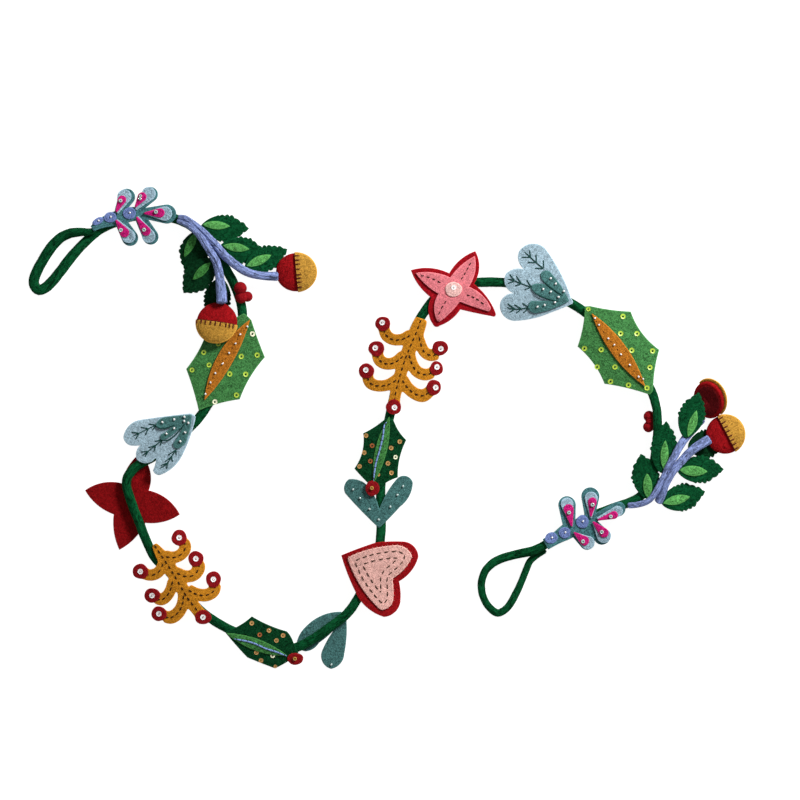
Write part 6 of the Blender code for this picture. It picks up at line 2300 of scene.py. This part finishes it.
BRANCHES = (
    Branch(
        "branch_left",
        ridge=Ridge(155, 556, 203, 614, 0.17),
        lines=(
            (
                (154.4, 544, 2.8), (161, 554, 5.4), (171, 569, 6.6), (180, 584, 6.4), (188, 597.5, 6.2),
                (196, 608, 5.8), (202, 616, 5.4)),
            ((165, 556, 6.3), (173, 557.4, 5.9), (181, 554.6, 5.9), (185.6, 548, 5.9), (184.4, 540, 4.9)),
            ((176, 572, 5.9), (185, 576, 5.9), (194, 575, 6.1), (199, 568.4, 6.3), (199.4, 562, 5.3)),
            ((188, 589, 5.9), (196, 593.6, 6.1), (206, 595, 6.3), (213.6, 591.4, 6.1), (216.4, 583.6, 5.3)),
            ((164, 562, 5.1), (161.4, 568.6, 5.5), (157, 573.4, 5.7), (150, 575, 5.7), (144, 573.6, 5.3)),
            (
                (173, 580, 5.3), (171.8, 587, 5.5), (168.6, 594, 5.7), (162.4, 599.4, 5.9),
                (155.6, 598.6, 5.3)),
            ((184, 594, 5.7), (183.2, 602.6, 5.9), (179.6, 611, 6.3), (172, 617.2, 6.5), (164, 616.6, 5.7))),
        discs=(
            (179.4, 537.6, 7.6, 8, 0), (196, 558.6, 7.6, 7.8, 0), (213.6, 579.2, 7.5, 8.2, 0),
            (140.8, 571.2, 8, 7.6, -20), (152.4, 595.2, 8, 7.3, 10), (159.2, 613.6, 7.8, 7.4, 0),
            (203.4, 616.8, 8.2, 7.2, 0)),
        sequins=()),
    Branch(
        "branch_right",
        ridge=Ridge(423, 315, 392, 407, 0.17),
        lines=(
            (
                (421.4, 318.6, 6.3), (417, 331, 7.4), (411, 345, 7), (405, 360, 6.4), (400, 376, 6),
                (396.2, 391, 5.6), (394, 403, 5.4)),
            (
                (411, 335, 6.3), (402.4, 339.4, 5.7), (393, 339.6, 5.7), (386.4, 335.4, 5.9),
                (383.6, 328, 5.5)),
            ((404, 355.6, 6.3), (396, 362, 5.9), (387.4, 364, 5.9), (380, 360.8, 6.1), (377, 353.6, 5.7)),
            (
                (397, 379.6, 5.9), (388.6, 384.6, 5.7), (379, 386, 5.7), (370.6, 383.4, 5.9),
                (367, 376.4, 5.5)),
            ((419, 336, 4.4), (421.4, 346, 5.6), (424.6, 352.4, 5.7), (431, 355.4, 5.9), (438, 354, 5.5)),
            ((409, 354, 6.1), (411.6, 363, 5.9), (417, 371.6, 5.9), (425.4, 374.8, 5.9), (433, 372.6, 5.5)),
            (
                (402, 379, 6.3), (406.6, 386.6, 6.1), (414.4, 393.4, 6.1), (423, 395.8, 6.5),
                (430, 391.4, 5.7))),
        discs=(
            (382.8, 323.8, 7.6, 7.2, 0), (376.4, 348.6, 8, 7.6, 0), (366.4, 371, 7.8, 7.6, 0),
            (440.2, 348, 7.9, 7.3, 0), (436.4, 368.4, 6.6, 7.2, 0), (433.8, 387.4, 7.2, 7.8, 0),
            (393.6, 407, 7.7, 7.6, 0)),
        sequins=(
            (382.3, 322.5), (375.3, 348), (366, 370), (440.8, 348.8), (437, 367), (435.7, 387.5),
            (394.5, 407.5))),
)
SMALL_HOLLIES = (
    SmallHolly(
        "small_holly_left",
        ridge=Ridge(228, 629, 292, 648, 0.14, -0.02),
        rows=(
            (225, 631.4, -1.8), (252, 616, -1.4), (287, 631, 0.8), (293.6, 642, 0), (298.6, 652, 0),
            (288, 661, 0.3), (275, 668, 0.2), (247.6, 657.2, 0.4)),
        vein=(226.4, 632.6, 287.6, 655.2, 6.4, 5.4),
        disc=(295.5, 658.3, 8, 6, 0),
        yarn=(
            (234, 638.2), (240, 639.4), (247, 640.7), (256, 643.5), (266, 648), (277, 651.5), (287, 655.5)),
        gold=(
            (252, 622.8, 2.5), (269.2, 630, 2.5), (283.4, 635, 2.5), (276.7, 640, 2.5), (256.7, 652, 2.5),
            (261.3, 660, 2.5), (275.6, 666, 2)),
        orange=((260, 634.3, 2.5),),
        pale=((273, 655.2, 2.5),)),
    SmallHolly(
        "small_holly_right",
        ridge=Ridge(389, 420, 380.8, 488, 0.15),
        rows=(
            (384.4, 419.6, -0.8), (363.2, 433.2, -3.6), (354.4, 468.5, 0.2), (368, 483, 0), (377, 491, 0),
            (386.6, 482.2, -0.3), (397.8, 477.2, -2.4), (406.3, 440, -1.4), (393.8, 420.6, 0.3)),
        vein=(389.4, 416.4, 373.6, 483, 6.2, 5.6),
        disc=(372.4, 488.2, 7, 7.7, 0),
        yarn=(
            (387.5, 421.5), (384.5, 425), (383, 436), (381, 445), (378.3, 455), (376, 463), (374.5, 472),
            (373.5, 481)),
        gold=(
            (366.2, 435.5, 2.5), (364.4, 452.5, 2.5), (359.7, 466.3, 2.5), (399.8, 441.5, 2.5),
            (391.2, 447.8, 2.5), (391.5, 472.7, 2.5), (388, 463.2, 2.5), (378.5, 474.5, 1.9)),
        orange=((372.3, 445.5, 2.5), (370.5, 461, 2.5)),
        pale=((395.5, 457, 2.4),)),
)
BUDS = (
    Bud("bud_left_1", 296.1, 272.2, 21.1, 20.1, ((298, 291.7), (294.4, 252.4)),
        (0.107, 0.234, 0.336, 0.425, 0.565, 0.692, 0.794, 0.908)),
    Bud("bud_left_2", 217.5, 323.4, 21.4, 21.5, ((196.6, 320.3), (237.5, 326.6)),
        (0.034, 0.156, 0.266, 0.389, 0.511, 0.633, 0.768, 0.853, 0.939), 13.0, -65.0),
    Bud("bud_right_1", 725.2, 434.4, 20.2, 20.3, ((735.4, 451.8), (717, 416.2)),
        (0.07, 0.19, 0.31, 0.42, 0.55, 0.67, 0.79, 0.92)),
    Bud("bud_right_2", 706.9, 401, 21.4, 17.4, ((691.5, 387.4), (720.5, 414.4)),
        (), 41.0, 40.0, True),
)
BERRIES = {
    "berries_left": ((240.8, 288.6, 15.4, 6.4), (241.6, 297.4, 13.6, 6.2), (247.6, 296.8, 9.4, 5.2)),
    "berries_right": ((649.2, 416.4, 5.6, 5.6), (648.6, 426.8, 5.5, 5.5), (649.9, 421.5, 7.2, 4.4)),
}


def make_cords() -> None:
    """The felted rope and the four rolled stems."""
    Cord("rope", ROPE, ROPE_GREEN, sides=22, step=2.0, rolled=False).made("limp")
    for name, rows in STEMS.items():
        Cord(name, rows, LILAC, sides=40, step=0.9, rolled=True).made("medium")


def main() -> None:
    """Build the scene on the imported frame."""
    logging.basicConfig(level=logging.INFO)
    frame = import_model()
    LOG.info("%d solids in the frame", len(frame["nodes"]))
    make_camera()
    make_cords()
    make_studio()
    for piece in (*SPRIGS, *LEAVES, *HOLLIES, *LOBED_PETALS, *BRANCHES, *SMALL_HOLLIES):
        piece.made()
    make_star()
    make_twin_leaves()
    make_heart()
    for bud in BUDS:
        bud.made()
    for name, balls in BERRIES.items():
        berries(name, balls, BERRY_RED)


if __name__ == "__main__":
    main()
